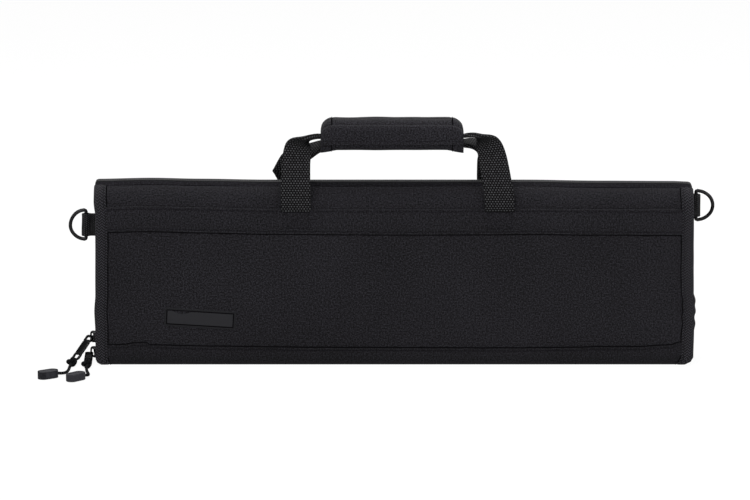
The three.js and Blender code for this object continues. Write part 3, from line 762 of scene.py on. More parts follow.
class PullsOperator(bpy.types.Operator):
    """Adds the sliders' ribbed pulls with their knots, cords and rubber ends"""
    bl_idname = "knifecase.pulls"
    bl_label = "Pulls"

    cord_steps = 30
    knot_steps = 48
    knot_reach = 2.4 * MM
    knot_lift = 1.9 * MM
    knot_radius = 1.5 * MM
    rubber_reach = 9.25 * MM
    rubber_half_width = 5 * MM
    collar_radii = (1.7 * MM, 2.0 * MM, 2.1 * MM, 2.1 * MM)
    collar_step = 0.8 * MM
    pull_width = 7 * MM
    pull_length = 29 * MM
    pull_thickness = 1.8 * MM
    rib_pitch = 1.5 * MM
    ribs_start = 5.2 * MM
    ribs_end = 18.2 * MM
    waist = 0.5 * MM

    def execute(self, context):
        self.add_end("upper", UPPER_ROUTE, (-2.059, -0.528))
        self.add_end("lower", LOWER_ROUTE, (-1.545, -0.035))
        return {"FINISHED"}

    def add_end(self, label, route, aim):
        body = f"{label}_pull"
        path = [Vector(point) for point in smooth_path(route, self.cord_steps)]
        knot = self.add_knot(label, path)
        end = self.add_rubber(label, path)
        cord = closed_loft(f"{label}_cord_braid", tube_rows(path, CORD_DIAMETER / 2, 16))
        dress(cord, body, "cord", "braided_cord", f"{label}_cord")
        self.add_pull(label, aim)

    def add_knot(self, label, path):
        """An overhand knot: the cord goes once round itself, drawn tight."""
        low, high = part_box(f"{label}_knot")
        middle = (low + high) / 2
        way = (path[0] - middle).normalized()
        side = way.cross(Vector((0, 0, 1))).normalized()
        up = side.cross(way)
        points = []
        for turn in ring_turns(self.knot_steps):
            reach = self.knot_reach * (1 + 0.42 * math.cos(3 * turn))
            points.append(middle + side * (reach * math.cos(2 * turn)) * 1.15
                          + up * (reach * math.sin(2 * turn)) * 0.9
                          + way * (self.knot_lift * math.sin(3 * turn)))
        knot = ring_tube(f"{label}_knot_cord", points, self.knot_radius, 10)
        return dress(knot, f"{label}_pull", "cord", "braided_cord", f"{label}_knot", angle=80)

    def add_rubber(self, label, path):
        """A flat moulded pill with a rim on both faces and a collar where the cord goes in."""
        node = f"{label}_cord_end"
        low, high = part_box(node)
        middle = (low + high) / 2
        way = middle - path[-1]
        way.z = 0
        half_thickness = (high.z - low.z) / 2
        straight = self.rubber_reach - self.rubber_half_width
        pill = primitive(f"{label}_rubber_end", bpy.ops.mesh.primitive_cylinder_add,
                         vertices=48, radius=self.rubber_half_width, depth=2 * half_thickness)
        for corner in pill.data.vertices:
            corner.co.x += math.copysign(straight, corner.co.x) if abs(corner.co.x) > 0.01 * MM else 0
        alone(pill)
        bpy.ops.object.mode_set(mode="EDIT")
        bpy.ops.mesh.select_all(action="DESELECT")
        bpy.ops.object.mode_set(mode="OBJECT")
        for side in pill.data.polygons:
            side.select = abs(side.normal.z) > 0.9
        bpy.ops.object.mode_set(mode="EDIT")
        bpy.ops.mesh.select_mode(type="FACE")
        bpy.ops.mesh.inset(thickness=2.5 * MM)
        bpy.ops.mesh.inset(thickness=0.4 * MM, depth=-0.6 * MM, use_individual=True)
        bpy.ops.mesh.inset(thickness=0.6 * MM, depth=0.25 * MM, use_individual=True)
        bpy.ops.object.mode_set(mode="OBJECT")
        with_modifier(pill, "BEVEL", width=2.2 * MM, segments=6, limit_method="ANGLE",
                      angle_limit=math.radians(60), use_clamp_overlap=True)
        collar_start = Vector((-self.rubber_reach - 0.2 * MM, 0, -0.2 * MM))
        collar_path = [collar_start + Vector((step * self.collar_step, 0, 0))
                       for step in range(len(self.collar_radii))]
        collar = closed_loft(f"{label}_collar", tube_rows(collar_path, self.collar_radii, 20))
        pill = joined(f"{label}_rubber_end", pill, collar)
        pill.rotation_euler.z = math.atan2(way.y, way.x)
        pill.location = middle
        return dress(pill, f"{label}_pull", "pull_rubber", "moulded_rubber", node, angle=35)

    def add_pull(self, label, aim):
        """A flat metal bar with a wide eye at each end and ribs across its middle."""
        heading, pitch = aim
        thickness = self.pull_thickness
        length = self.pull_length
        eye_start = -3.5 * MM
        half = self.pull_width / 2
        narrow = half - self.waist
        corner = 1.6 * MM
        outline = [(eye_start, half - 1.0 * MM), (eye_start + corner, half), (3.2 * MM, half),
                   (4.4 * MM, narrow)]
        place, rib = self.ribs_start, self.rib_pitch
        while place < self.ribs_end:
            outline += [(place, narrow), (place + rib * 0.25, half), (place + rib * 0.6, half),
                        (place + rib * 0.85, narrow)]
            place += rib
        outline += [(19.0 * MM, narrow), (20.4 * MM, half), (length - half - corner * 0.2, half),
                    (length - half + corner, half - 1.2 * MM)]
        loop = outline + [(x, -y) for x, y in reversed(outline)]
        pull = self.plate(f"{label}_pull_bar", loop, thickness, (
            (-1.9 * MM, 2.4 * MM, 1.9 * MM, 2.3 * MM), (20.6 * MM, 26.0 * MM, 2.3 * MM, 1.6 * MM)))
        pull = joined(f"{label}_pull_bar", pull, self.ribs(f"{label}_ribs", thickness))
        low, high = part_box(f"{label}_slider")
        eye = Vector((low.x + 0.8 * MM, 0, (low.z + high.z) / 2 - 1.6 * MM))
        pull.matrix_world = (Matrix.Translation(eye) @ Matrix.Rotation(heading, 4, "Z")
                             @ Matrix.Rotation(-pitch, 4, "Y"))
        dress(pull, f"{label}_pull", "black_metal", "coated_metal", f"{label}_pull", angle=35)

    def plate(self, name, loop, thickness, holes):
        """A flat bar from its outline, with holes given as start, end and the half width at each."""
        shape = bmesh.new()
        edges = []
        outlines = [loop] + [[(start, wide), (end, narrow), (end, -narrow), (start, -wide)]
                             for start, end, wide, narrow in holes]
        for outline in outlines:
            corners = [shape.verts.new((x, y, -thickness / 2)) for x, y in outline]
            edges += [shape.edges.new(pair) for pair in zip(corners, corners[1:] + corners[:1])]
        bmesh.ops.triangle_fill(shape, use_beauty=True, use_dissolve=False, edges=edges)
        data = bpy.data.meshes.new(name)
        shape.to_mesh(data)
        shape.free()
        piece = alone(linked(name, data))
        bpy.ops.object.mode_set(mode="EDIT")
        bpy.ops.mesh.select_all(action="SELECT")
        bpy.ops.mesh.extrude_region_move(TRANSFORM_OT_translate={"value": (0, 0, thickness)})
        bpy.ops.mesh.select_all(action="SELECT")
        bpy.ops.mesh.normals_make_consistent(inside=False)
        bpy.ops.object.mode_set(mode="OBJECT")
        return with_modifier(piece, "BEVEL", width=0.35 * MM, segments=2, limit_method="ANGLE",
                             angle_limit=math.radians(50))

    def ribs(self, name, thickness):
        """Raised bars across both faces of the pull's middle."""
        model = primitive(name + "_model", bpy.ops.mesh.primitive_cube_add, size=1)
        for corner in model.data.vertices:
            slope = 0.55 if corner.co.z > 0 else 1
            corner.co = Vector((corner.co.x * 0.75 * MM * slope, corner.co.y * (self.pull_width - 2 * MM),
                                corner.co.z * 0.5 * MM))
        places = []
        place = self.ribs_start + self.rib_pitch * 0.42
        while place < self.ribs_end:
            for side in (1, -1):
                places.append(Matrix.Translation((place, 0, side * thickness / 2))
                              @ Matrix.Rotation(0 if side > 0 else math.pi, 4, "X"))
            place += self.rib_pitch
        return copies(name, model, places)


# Materials that several pieces share

def shared_finish(name):
    """Each cloth, metal or rubber, made once from the sizes and colours in the panel."""
    if name in bpy.data.materials:
        return bpy.data.materials[name]
    cloth = bpy.context.scene.case_cloth
    handle = bpy.context.scene.case_handle
    makers = {
        "outer_canvas": lambda: canvas_finish(name, cloth.canvas, cloth.weave, 0.015),
        "dark_trim": lambda: canvas_finish(name, cloth.trim, cloth.weave, 0.015),
        # Painted light: the grip and its flap, highest on the case and most lit from above, get a lighter
        # copy of the trim
        "grip_cloth_painted_light": lambda: canvas_finish(name, shade(cloth.trim, 1.25), cloth.weave, 0.015),
        # Painted shade: the base strip, low on the case where less light falls, gets a darker copy of the
        # trim
        "base_trim_painted_shade": lambda: canvas_finish(name, shade(cloth.trim, 0.8), cloth.weave, 0.015),
        "edge_tape_weave": lambda: herringbone_finish(name, cloth.trim, 2.4 * MM, 4.2 * MM),
        "strap_webbing": lambda: webbing_finish(name, handle.webbing, handle.rib, handle.column),
        "tab_webbing": lambda: webbing_finish(name, handle.webbing, 1.3 * MM, 1.7 * MM),
        "sewing_thread": lambda: nylon_finish(name, shade(cloth.trim, 0.7), 0.02),
        # Painted shade: a near-black cord laid along open edges, seams and grooves in place of their shadow
        "shadow_line": lambda: nylon_finish(name, (0.0025, 0.0025, 0.0028), 0),
        "coated_metal": lambda: metal_finish(name, (0.017, 0.017, 0.0175), 0.26),
        "badge_moulding": lambda: rubber_finish(name, (0.0105, 0.0105, 0.012), 0.5 * MM, 0.7),
        "moulded_rubber": lambda: rubber_finish(name, (0.021, 0.021, 0.0245), 0.5 * MM, 0.6),
        "braided_cord": lambda: cord_finish(name, (0.0028, 0.0028, 0.0032), 6, 5.2 * MM),
        "badge_field": lambda: rubber_finish(name, (0.0155, 0.0155, 0.0175), 0.5 * MM, 0.7),
        "zip_tape_cloth": lambda: canvas_finish(name, shade(cloth.canvas, 0.85), 0.9 * MM, 0, 0.04),
        "zip_nylon": lambda: nylon_finish(name, (0.006, 0.006, 0.0065)),
        "inner_thread": lambda: nylon_finish(name, (0.05, 0.05, 0.055)),
        "padding_foam": lambda: foam_finish(name, (0.11, 0.11, 0.12)),
        "lining": lambda: canvas_finish(name, (0.022, 0.022, 0.025), 0.5 * MM, 0.1),
        "elastic_band": lambda: ribbed_finish(name, (0.014, 0.014, 0.015), 1.2 * MM, 0.05),
        "pocket_net": lambda: nylon_finish(name, (0.02, 0.02, 0.022)),
        "page_cloth": lambda: canvas_finish(name, (0.026, 0.026, 0.03), 0.5 * MM, 0.2),
        "spine_stiffener": lambda: board_finish(name, (0.03, 0.03, 0.032)),
        "hook_tape": lambda: pile_finish(name, (0.012, 0.012, 0.013)),
        "loop_tape": lambda: pile_finish(name, (0.016, 0.016, 0.018)),
    }
    return makers[name]()


# Forms that several pieces share

def spaced(low, high, count):
    return [low + (high - low) * step / count for step in range(count + 1)]


def rounded_outline(half_length, half_width, corner, inset=0, steps=6):
    """Corners of a rounded rectangle, drawn in from its edge."""
    turn_radius = max(corner - inset, 0.05 * MM)
    reach_x, reach_y = half_length - inset - turn_radius, half_width - inset - turn_radius
    outline = []
    for quarter, (side_x, side_y) in enumerate(((1, 1), (-1, 1), (-1, -1), (1, -1))):
        for step in range(steps + 1):
            turn = math.pi / 2 * (quarter + step / steps)
            outline.append((side_x * reach_x + turn_radius * math.cos(turn),
                            side_y * reach_y + turn_radius * math.sin(turn)))
    return outline


def moulding(name, half_length, half_width, corner, levels, steps=6):
    """A rounded plate built up through levels of inset and height."""
    return closed_loft(name, [
        [Vector((x, y, height)) for x, y in rounded_outline(half_length, half_width, corner, inset, steps)]
        for inset, height in levels])


def strip_section(half_width, thickness, edge=0.35 * MM, across=8):
    """A flat strip's section as (across, out), with rounded edges."""
    top = [(x, thickness) for x in spaced(edge - half_width, half_width - edge, across)]
    low = [(x, 0) for x in spaced(half_width - edge, edge - half_width, across)]
    return [*top, (half_width, thickness - edge), (half_width, edge), *low,
            (-half_width, edge), (-half_width, thickness - edge)]


def puffed(piece, sewn, pressure, limit, swell=0.004):
    """Padding pushes the cloth out between the places where it is sewn down."""
    alone(piece)
    group = piece.vertex_groups.new(name="sewn")
    group.add([corner.index for corner in piece.data.vertices if sewn(corner.co)], 1, "REPLACE")
    before = [corner.co.copy() for corner in piece.data.vertices]
    outward = [corner.normal.copy() for corner in piece.data.vertices]
    cloth = piece.modifiers.new("padding", "CLOTH")
    cloth.settings.quality = 6
    cloth.settings.mass = 0.0002
    cloth.settings.tension_stiffness = cloth.settings.compression_stiffness = 1.5
    cloth.settings.shear_stiffness = 0.6
    cloth.settings.bending_stiffness = 0.02
    cloth.settings.air_damping = 4
    cloth.settings.vertex_group_mass = group.name
    cloth.settings.shrink_min = -swell
    cloth.settings.shrink_max = -swell
    cloth.settings.use_pressure = True
    cloth.settings.uniform_pressure_force = pressure
    cloth.settings.effector_weights.gravity = 0
    cloth.point_cache.frame_start = 1
    cloth.point_cache.frame_end = 20
    for moment in range(1, 21):
        bpy.context.scene.frame_set(moment)
    bpy.ops.object.modifier_apply(modifier=cloth.name)
    piece.vertex_groups.clear()
    for corner, start, out in zip(piece.data.vertices, before, outward):
        step = (corner.co - start).dot(out)
        corner.co = start + out * min(max(step, -0.2 * MM), limit)
    bpy.context.scene.frame_set(1)
    return piece


# Covers

BAND_TOP = ((-246, 136.7), (0, 135.6), (246, 136.6))
BAND_LOW = ((-246, 115.4), (0, 113.9), (246, 114.9))
STRIP_TOP = (
    (-246, 17.4), (-231, 17.3), (-223, 18.6), (-213, 19.1), (-209, 16.9), (-160, 15.9), (-60, 14.9),
    (100, 14.4), (205, 15.8), (236, 17.2), (246, 20))
UNDER_FOLD = -1.05 * FOLD_RADIUS
# How far the outer cloth runs on under the fold
TUCK = 1.5 * math.pi * FOLD_RADIUS


class CoversOperator(bpy.types.Operator):
    """Adds both covers' outer cloth, padding, lining and end walls"""
    bl_idname = "knifecase.covers"
    bl_label = "Covers"

    columns = 128
    rows = 60
    cloth_thickness = 1.2 * MM
    foam_depths = (1.9 * MM, 4.5 * MM)
    lining_depths = (4.8 * MM, 5.8 * MM)
    lining_hem = 1.2 * MM
    lining_ripple = 0.5 * MM
    wall_thickness = 1.9 * MM

    def execute(self, context):
        for seed, cover in enumerate(COVERS):
            self.add_cloth(context, cover, context.scene.case_stage.seed + 10 * seed)
            self.add_padding(cover)
            self.add_lining(cover)
            for label, side in SIDES.items():
                self.add_end_wall(cover, label, side)
        return {"FINISHED"}

    def sewn(self, place):
        """Whether the cloth is held there by a seam, a trim or the fold."""
        flat = place.y < FACE_Y + 2 * MM
        return (abs(place.x) > HALF_LENGTH - 7 * MM or place.z < highs("front_base_strip").z
                or flat and lows("front_handle_band").z < place.z < highs("front_handle_band").z
                or place.y > ZIP_EDGE - 5 * MM)

    def add_cloth(self, context, cover, seed):
        settings = context.scene.case_cloth
        rows = []
        for climb in spaced(-TUCK, ZIP_CLIMB, self.rows):
            rows.append([face(x, climb, 0, seed)[0]
                         for x in spaced(-HALF_LENGTH, HALF_LENGTH, self.columns)])
        cloth = puffed(loft(f"{cover}_cloth", rows), self.sewn, settings.pressure, settings.puff)
        smoothed(cloth, 1)
        with_modifier(cloth, "SOLIDIFY", thickness=self.cloth_thickness, offset=-1)
        dress(cloth, f"{cover}_cover", "canvas", "outer_canvas", f"{cover}_panel")

    def layer(self, name, depths, low, hem=0, ripple=0):
        """A layer between two depths under the cloth, from a height near the fold to the zip's edge."""
        outer, inner = depths
        climbs = spaced(climb_at(low), ZIP_CLIMB - 0.4 * MM, 30)
        rows = []
        for x in spaced(0.4 * MM - HALF_LENGTH, HALF_LENGTH - 0.4 * MM, 64):
            section = [wall(climb, -outer)[0] for climb in climbs]
            for climb in reversed(climbs):
                wave = noise.noise(Vector((x * 22, climb * 30, inner * 900))) * ripple
                section.append(wall(climb, -inner - wave)[0])
            if hem:
                # The lining turns back under the padding's lower edge
                section[0] = wall(climbs[0] - hem, -outer)[0]
                section[-1] = wall(climbs[0] - hem, -inner)[0]
            for place in section:
                place.x = x
            rows.append(section)
        return closed_loft(name, rows)

    def add_padding(self, cover):
        node = f"{cover}_padding"
        padding = self.layer(f"{cover}_foam", self.foam_depths, lows(node).z)
        dress(padding, f"{cover}_cover", "foam", "padding_foam", node)

    def add_lining(self, cover):
        node = f"{cover}_lining"
        lining = self.layer(f"{cover}_lining_cloth", self.lining_depths, lows(node).z,
                            self.lining_hem, self.lining_ripple)
        dress(lining, f"{cover}_cover", "lining_cloth", "lining", node)

    def add_end_wall(self, cover, label, side):
        """The end's cloth, from the face round to the zip, a little swollen."""
        node = f"{cover}_{label}_gusset"
        low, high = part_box("front_right_gusset")
        rows = []
        for z in spaced(low.z, high.z - 0.6 * MM, 48):
            rise = max(z - ARCH.z, 0)
            face_y = ARCH.y - math.sqrt(TOP_RADIUS ** 2 - rise ** 2)
            row = []
            for share in spaced(0, 1, 8):
                uneven = 0.5 + noise.noise(Vector((z * 40, side, len(cover))))
                swell = math.sin(math.pi * share) * uneven * 0.5 * MM
                row.append(Vector((side * (high.x - 0.3 * MM + swell),
                                   face_y + (ZIP_EDGE - face_y) * share, z)))
            rows.append(row if side > 0 else row[::-1])
        end = smoothed(loft(f"{cover}_{label}_end_cloth", rows), 1)
        with_modifier(end, "SOLIDIFY", thickness=self.wall_thickness, offset=-1)
        dress(end, f"{cover}_cover", "canvas", "outer_canvas", node)


class TrimsOperator(bpy.types.Operator):
    """Adds the handle bands, base strips, edge bindings, their stitches and near-black cords painted as
    shadow along their open edges
    """
    bl_idname = "knifecase.trims"
    bl_label = "Trims"

    seam_inset = 2.2 * MM
    binding_width = 10.5 * MM
    return_depth = 6 * MM
    # Radius of the near-black cords painted as shadow along the trims' open edges; they also sit that far
    # past each edge
    shadow_line = 0.5 * MM
    box_inset = 4 * MM
    box_reach = 10.5 * MM

    def execute(self, context):
        for cover in COVERS:
            seed = context.scene.case_stage.seed + 10 * (cover == "rear")
            self.seams = []
            self.shadow_line_paths = []
            self.add_band(cover, seed)
            self.add_base_strip(cover, seed)
            for label, side in SIDES.items():
                self.add_binding(cover, label, side, seed)
            self.add_box_stitches(seed)
            thread = stitches(f"{cover}_cover_stitches", self.seams)
            dress(thread, f"{cover}_cover", "binding_tape", "sewing_thread")
            self.add_shadow_lines(cover)
        return {"FINISHED"}

    def add_shadow_lines(self, cover):
        """Painted shade: near-black cords laid where each trim's open edge meets the cloth, standing in for
        the shadow in that gap.
        """
        cords = [closed_loft(f"{cover}_shadow_lines", tube_rows(line, self.shadow_line, 6))
                 for line in self.shadow_line_paths]
        dress(joined(f"{cover}_shadow_lines", *cords), f"{cover}_cover", "binding_tape", "shadow_line")

    def across_section(self, low, high, out, x, seed, seams, hem=1.1 * MM):
        """A strip's section up the wall: folded edges, flat between, drawn in at the seams."""
        marks = [(low, 0.05 * MM), (low, out * 0.7), (low + 0.35 * MM, out), (low + hem, out)]
        for seam in seams:
            marks += [(seam - 0.8 * MM, out), (seam, out - 0.5 * MM), (seam + 0.8 * MM, out)]
        middle = (low + high) / 2
        pad = noise.noise(Vector((x * 26, seed, middle * 60))) * 0.25 * MM
        marks += [(middle, out + pad)]
        marks += [(high - hem, out), (high - 0.35 * MM, out), (high, out * 0.7), (high, 0.05 * MM)]
        marks.sort(key=lambda mark: mark[0])
        top = [face(x, climb, height, seed)[0] for climb, height in marks]
        under = [face(x, climb, 0.05 * MM, seed)[0] for climb in spaced(high, low, 6)[1:-1]]
        return top + under

    def strip(self, name, top_edge, low_edge, out, seams, seed):
        reach = highs("front_handle_band").x + 0.6 * MM
        rows = []
        lines = [[] for _ in seams]
        hem = []
        for x in spaced(-reach, reach, 240):
            high = climb_at(curve_value(top_edge, x / MM) * MM)
            low = climb_at(curve_value(low_edge, x / MM) * MM) if low_edge else UNDER_FOLD
            high += noise.noise(Vector((x * 60, seed, 1))) * 0.25 * MM
            places = [high - inset if inset > 0 else low - inset for inset in seams]
            rows.append(self.across_section(low, high, out, x, seed, places))
            for line, climb in zip(lines, places):
                line.append(face(x, climb, out - 0.25 * MM, seed))
            # The painted shadow line runs just past the strip's open edge, on the cloth
            open_edge = low - self.shadow_line if low_edge else high + self.shadow_line
            hem.append(face(x, open_edge, 0.35 * MM, seed)[0])
        self.seams += lines
        self.shadow_line_paths.append(hem)
        return closed_loft(name, rows)

    def add_band(self, cover, seed):
        band = self.strip(f"{cover}_band", BAND_TOP, BAND_LOW, BAND_OUT,
                          (self.seam_inset, -self.seam_inset), seed)
        dress(band, f"{cover}_cover", "trim_canvas", "dark_trim", f"{cover}_handle_band", angle=50)

    def add_base_strip(self, cover, seed):
        strip = self.strip(f"{cover}_strip", STRIP_TOP, None, TRIM_OUT, (self.seam_inset,), seed)
        # The base strip is in the darker copy of the trim, painted shade low on the case
        dress(strip, f"{cover}_cover", "trim_canvas", "base_trim_painted_shade", f"{cover}_base_strip", angle=50)

    def add_binding(self, cover, label, side, seed):
        """Tape folded round the corner of the face and the end wall, puckered by its seam."""
        outer = highs("front_right_binding").x
        rows = []
        line = []
        hem = []
        for climb in spaced(UNDER_FOLD, ZIP_CLIMB - 0.3 * MM, 200):
            pucker = math.sin(climb / (3.3 * MM) * 2 * math.pi) * 0.12 * MM
            wander = noise.noise(Vector((climb * 45, side, seed))) * 0.5 * MM
            inner = outer - self.binding_width + wander
            out = TRIM_OUT + noise.noise(Vector((climb * 70, side, seed + 3))) * 0.2 * MM
            depth = self.return_depth
            marks = [(inner, 0.05 * MM), (inner + pucker, out * 0.7), (inner + 0.4 * MM + pucker, out),
                     (inner + 1.3 * MM, out), (inner + 2 * MM, out - 0.45 * MM), (inner + 2.8 * MM, out),
                     ((inner + outer) / 2 + 0.8 * MM, out + 0.15 * MM + pucker),
                     (outer - 1.7 * MM, out + 0.05 * MM), (outer - 0.6 * MM, out - 0.35 * MM),
                     (outer, out - 1.2 * MM), (outer + 0.1 * MM, -depth / 2), (outer, 0.4 * MM - depth),
                     (outer - 0.4 * MM, -depth),
                     (outer - 1.2 * MM, -depth), (outer - 1.4 * MM, -1 * MM), (outer - 2 * MM, 0.05 * MM)]
            row = []
            for x, height in marks:
                place, _ = face(HALF_LENGTH * side, climb, height, seed)
                place.x = side * x
                row.append(place)
            rows.append(row)
            seam, outward = face(HALF_LENGTH * side, climb, out - 0.2 * MM, seed)
            seam.x = side * (inner + 2 * MM)
            line.append((seam, outward))
            # The painted shadow line runs along the binding's inner edge
            hem.append(seam + Vector((side * (inner - self.shadow_line) - seam.x, 0, 0))
                       - outward * (out - 0.5 * MM))
        self.seams.append(line)
        self.shadow_line_paths.append(hem)
        binding = closed_loft(f"{cover}_{label}_edge_tape", rows)
        dress(binding, f"{cover}_cover", "binding_tape", "edge_tape_weave", f"{cover}_{label}_binding",
              angle=50)

    def add_box_stitches(self, seed):
        """The straps' feet are sewn down through the band."""
        top = climb_at(highs("front_handle_band").z) - self.box_inset
        low = climb_at(lows("front_handle_band").z) + self.box_inset
        for middle in STRAP_FEET:
            left, right = middle - self.box_reach, middle + self.box_reach
            corners = [(left, low), (left, top), (right, top), (right, low),
                       (left, low), (right, top), (right, low), (left, top)]
            for (x0, climb0), (x1, climb1) in zip(corners, corners[1:]):
                self.seams.append([face(x0 + (x1 - x0) * share, climb0 + (climb1 - climb0) * share,
                                        BAND_OUT + 0.02 * MM, seed) for share in spaced(0, 1, 6)])


class BadgeOperator(bpy.types.Operator):
    """Adds the bare rubber badge"""
    bl_idname = "knifecase.badge"
    bl_label = "Badge"

    tilt = -0.055
    half_length = 30.5 * MM
    half_width = 8 * MM
    corner = 1.6 * MM
    rim = 1.5 * MM
    field_inset = 2.4 * MM

    def execute(self, context):
        low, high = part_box("badge")
        middle = (low + high) / 2
        half_length, half_width = self.half_length, self.half_width
        thickness = high.y - low.y
        badge = moulding("bare_badge", half_length, half_width, self.corner, (
            (0.3 * MM, 0), (0, 0.3 * MM), (0, thickness - 0.5 * MM), (0.15 * MM, thickness - 0.15 * MM),
            (0.5 * MM, thickness), (self.rim - 0.3 * MM, thickness), (self.rim, thickness - 0.2 * MM),
            (self.rim + 0.1 * MM, thickness - 0.7 * MM), (self.rim + 0.6 * MM, thickness - 0.85 * MM)))
        place = (Matrix.Translation((middle.x, high.y + 0.1 * MM, middle.z))
                 @ Matrix.Rotation(-self.tilt, 4, "Y") @ Matrix.Rotation(math.pi / 2, 4, "X"))
        badge.matrix_world = place
        dress(badge, "front_cover", "badge_rubber", "badge_moulding", "badge", angle=30)
        levels = ((0.1 * MM, 0.3 * MM), (0, 0.5 * MM), (0, thickness - 0.6 * MM),
                  (0.3 * MM, thickness - 0.4 * MM))
        field = moulding("badge_inlay", half_length - self.field_inset, half_width - self.field_inset,
                         self.corner / 2, levels)
        field.matrix_world = place
        dress(field, "front_cover", "badge_rubber", "badge_field", angle=30)
        outline = rounded_outline(half_length, half_width, self.corner, self.rim * 0.5)
        line = [(place @ Vector((x, y, thickness - 0.1 * MM)), -INWARD) for x, y in outline + outline[:1]]
        thread = stitches("badge_stitches", [line], 2.4 * MM, 1.7 * MM, 0.16 * MM)
        dress(thread, "front_cover", "badge_rubber", "sewing_thread")
        # Near-black cords painted as shade: a contact shadow round the badge's foot and the shadow in the
        # groove inside its rim
        for label, inset, level in (("foot", -0.2 * MM, 0.3 * MM),
                                    ("groove", self.rim + 0.45 * MM, thickness - 0.5 * MM)):
            outline = rounded_outline(half_length, half_width, self.corner, inset)
            points = [place @ Vector((x, y, level)) for x, y in outline]
            dress(ring_tube(f"badge_{label}_line", points, 0.4 * MM, 6), "front_cover", "badge_rubber",
                  "shadow_line")
        return {"FINISHED"}


class RingsOperator(bpy.types.Operator):
    """Adds the ring and its webbing tab at each end"""
    bl_idname = "knifecase.rings"
    bl_label = "Rings"

    tab_width = 19.2 * MM
    layer = 1.5 * MM
    eye_room = 0.8 * MM
    root = 0.6 * MM

    def execute(self, context):
        for label, rear in (("left", False), ("right", True)):
            self.add_ring(label, rear)
            self.add_tab(label, rear)
        return {"FINISHED"}

    def bar_place(self, label, rear):
        """The ring's bar, on the cover's own left."""
        low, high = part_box(f"{label}_ring")
        radius = (high.y - low.y) / 2
        bar_x = high.x - radius if not rear else -(low.x + radius)
        bar_y = -abs(high.y + low.y) / 2
        middle = (low.z + high.z) / 2 + (1.8 if rear else -0.9) * MM
        # The ring turns on the frame's axis, so its bar gives up part of its end's lean
        end = Vector((-bar_x if rear else bar_x, 0, middle))
        kept = abs((settled(end) - end).x) * (0.15 if rear else 0.45)
        span = high.x - low.x + 1.6 * MM - kept
        return Vector((bar_x - kept, bar_y, middle)), radius, (high.z - low.z) / 2 - radius + 1 * MM, span

    def add_ring(self, label, rear):
        bar, radius, half, span = self.bar_place(label, rear)
        depth = span - 2 * radius
        points = [bar + Vector((0, 0, z)) for z in spaced(1.3 * MM - half, half - 1.3 * MM, 6)]
        corner = ((-0.3 * MM, half - 0.5 * MM), (-1.2 * MM, half - 0.05 * MM))
        points += [bar + Vector((x, 0, z)) for x, z in corner]
        for turn in spaced(math.pi / 2 - 0.32, 0.32 - math.pi / 2, 28):
            points.append(bar + Vector((-depth * math.cos(turn), 0, half * math.sin(turn))))
        points += [bar + Vector((x, 0, -z)) for x, z in reversed(corner)]
        ring = ring_tube(f"{label}_d_ring", points, radius, 18)
        dress(ring, f"{label}_ring", "black_metal", "coated_metal", f"{label}_ring", angle=60)

    def add_tab(self, label, rear):
        bar, radius, _, _ = self.bar_place(label, rear)
        turn_radius = radius + self.eye_room + self.layer / 2
        reach = END_X + bar.x
        root, eye = self.root - reach, turn_radius + self.eye_room
        path = [(x, self.layer / 2) for x in spaced(root, eye, 6)]
        path += [(turn_radius * math.cos(turn), turn_radius * math.sin(turn))
                 for turn in spaced(math.pi / 4, 2 * math.pi - math.pi / 4, 22)]
        path += [(x, -self.layer / 2) for x in spaced(eye, root, 6)]
        rows = []
        for index, (x, y) in enumerate(path):
            ahead, behind = path[min(index + 1, len(path) - 1)], path[max(index - 1, 0)]
            way = Vector((ahead[0] - behind[0], ahead[1] - behind[1], 0)).normalized()
            out = Vector((-way.y, way.x, 0))
            rows.append([bar + Vector((x, y, 0)) + Vector((0, 0, across)) + out * (height - self.layer / 2)
                         for across, height in strip_section(self.tab_width / 2, self.layer)])
        tab = closed_loft(f"{label}_tab_webbing", rows)
        dress(tab, f"{'rear' if rear else 'front'}_cover", "webbing", "tab_webbing",
              f"{label}_ring_tab", angle=60)


# Zip

ZIP_CORNER = 2.4 * MM


def zip_path(y, out=0):
    """Points and outward directions up the left end, along the rounded top and down the right end."""
    rise = math.sqrt(TOP_RADIUS ** 2 - max(ARCH.y - y, 0) ** 2)
    tilt = Vector((0, -max(ARCH.y - y, 0), rise)).normalized()
    top, low = ARCH.z + rise, lows("front_zip_tape").z
    points = []
    for z in spaced(low, top - ZIP_CORNER, 56)[:-1]:
        points.append((Vector((-END_X - out, y, z)), Vector((-1, 0, 0))))
    centre = Vector((ZIP_CORNER - END_X, y, top - ZIP_CORNER))
    for turn in spaced(0, math.pi / 2, 6):
        outward = Vector((-math.cos(turn), 0, 0)) + tilt * math.sin(turn)
        corner = Vector((-math.cos(turn), 0, math.sin(turn))) * ZIP_CORNER
        points.append((centre + corner + outward * out, outward))
    for x in spaced(ZIP_CORNER - END_X, 0, 60)[1:]:
        points.append((Vector((x, y, top)) + tilt * out, tilt))
    for point, outward in reversed(points[:-1]):
        points.append((Vector((-point.x, point.y, point.z)), Vector((-outward.x, outward.y, outward.z))))
    return points


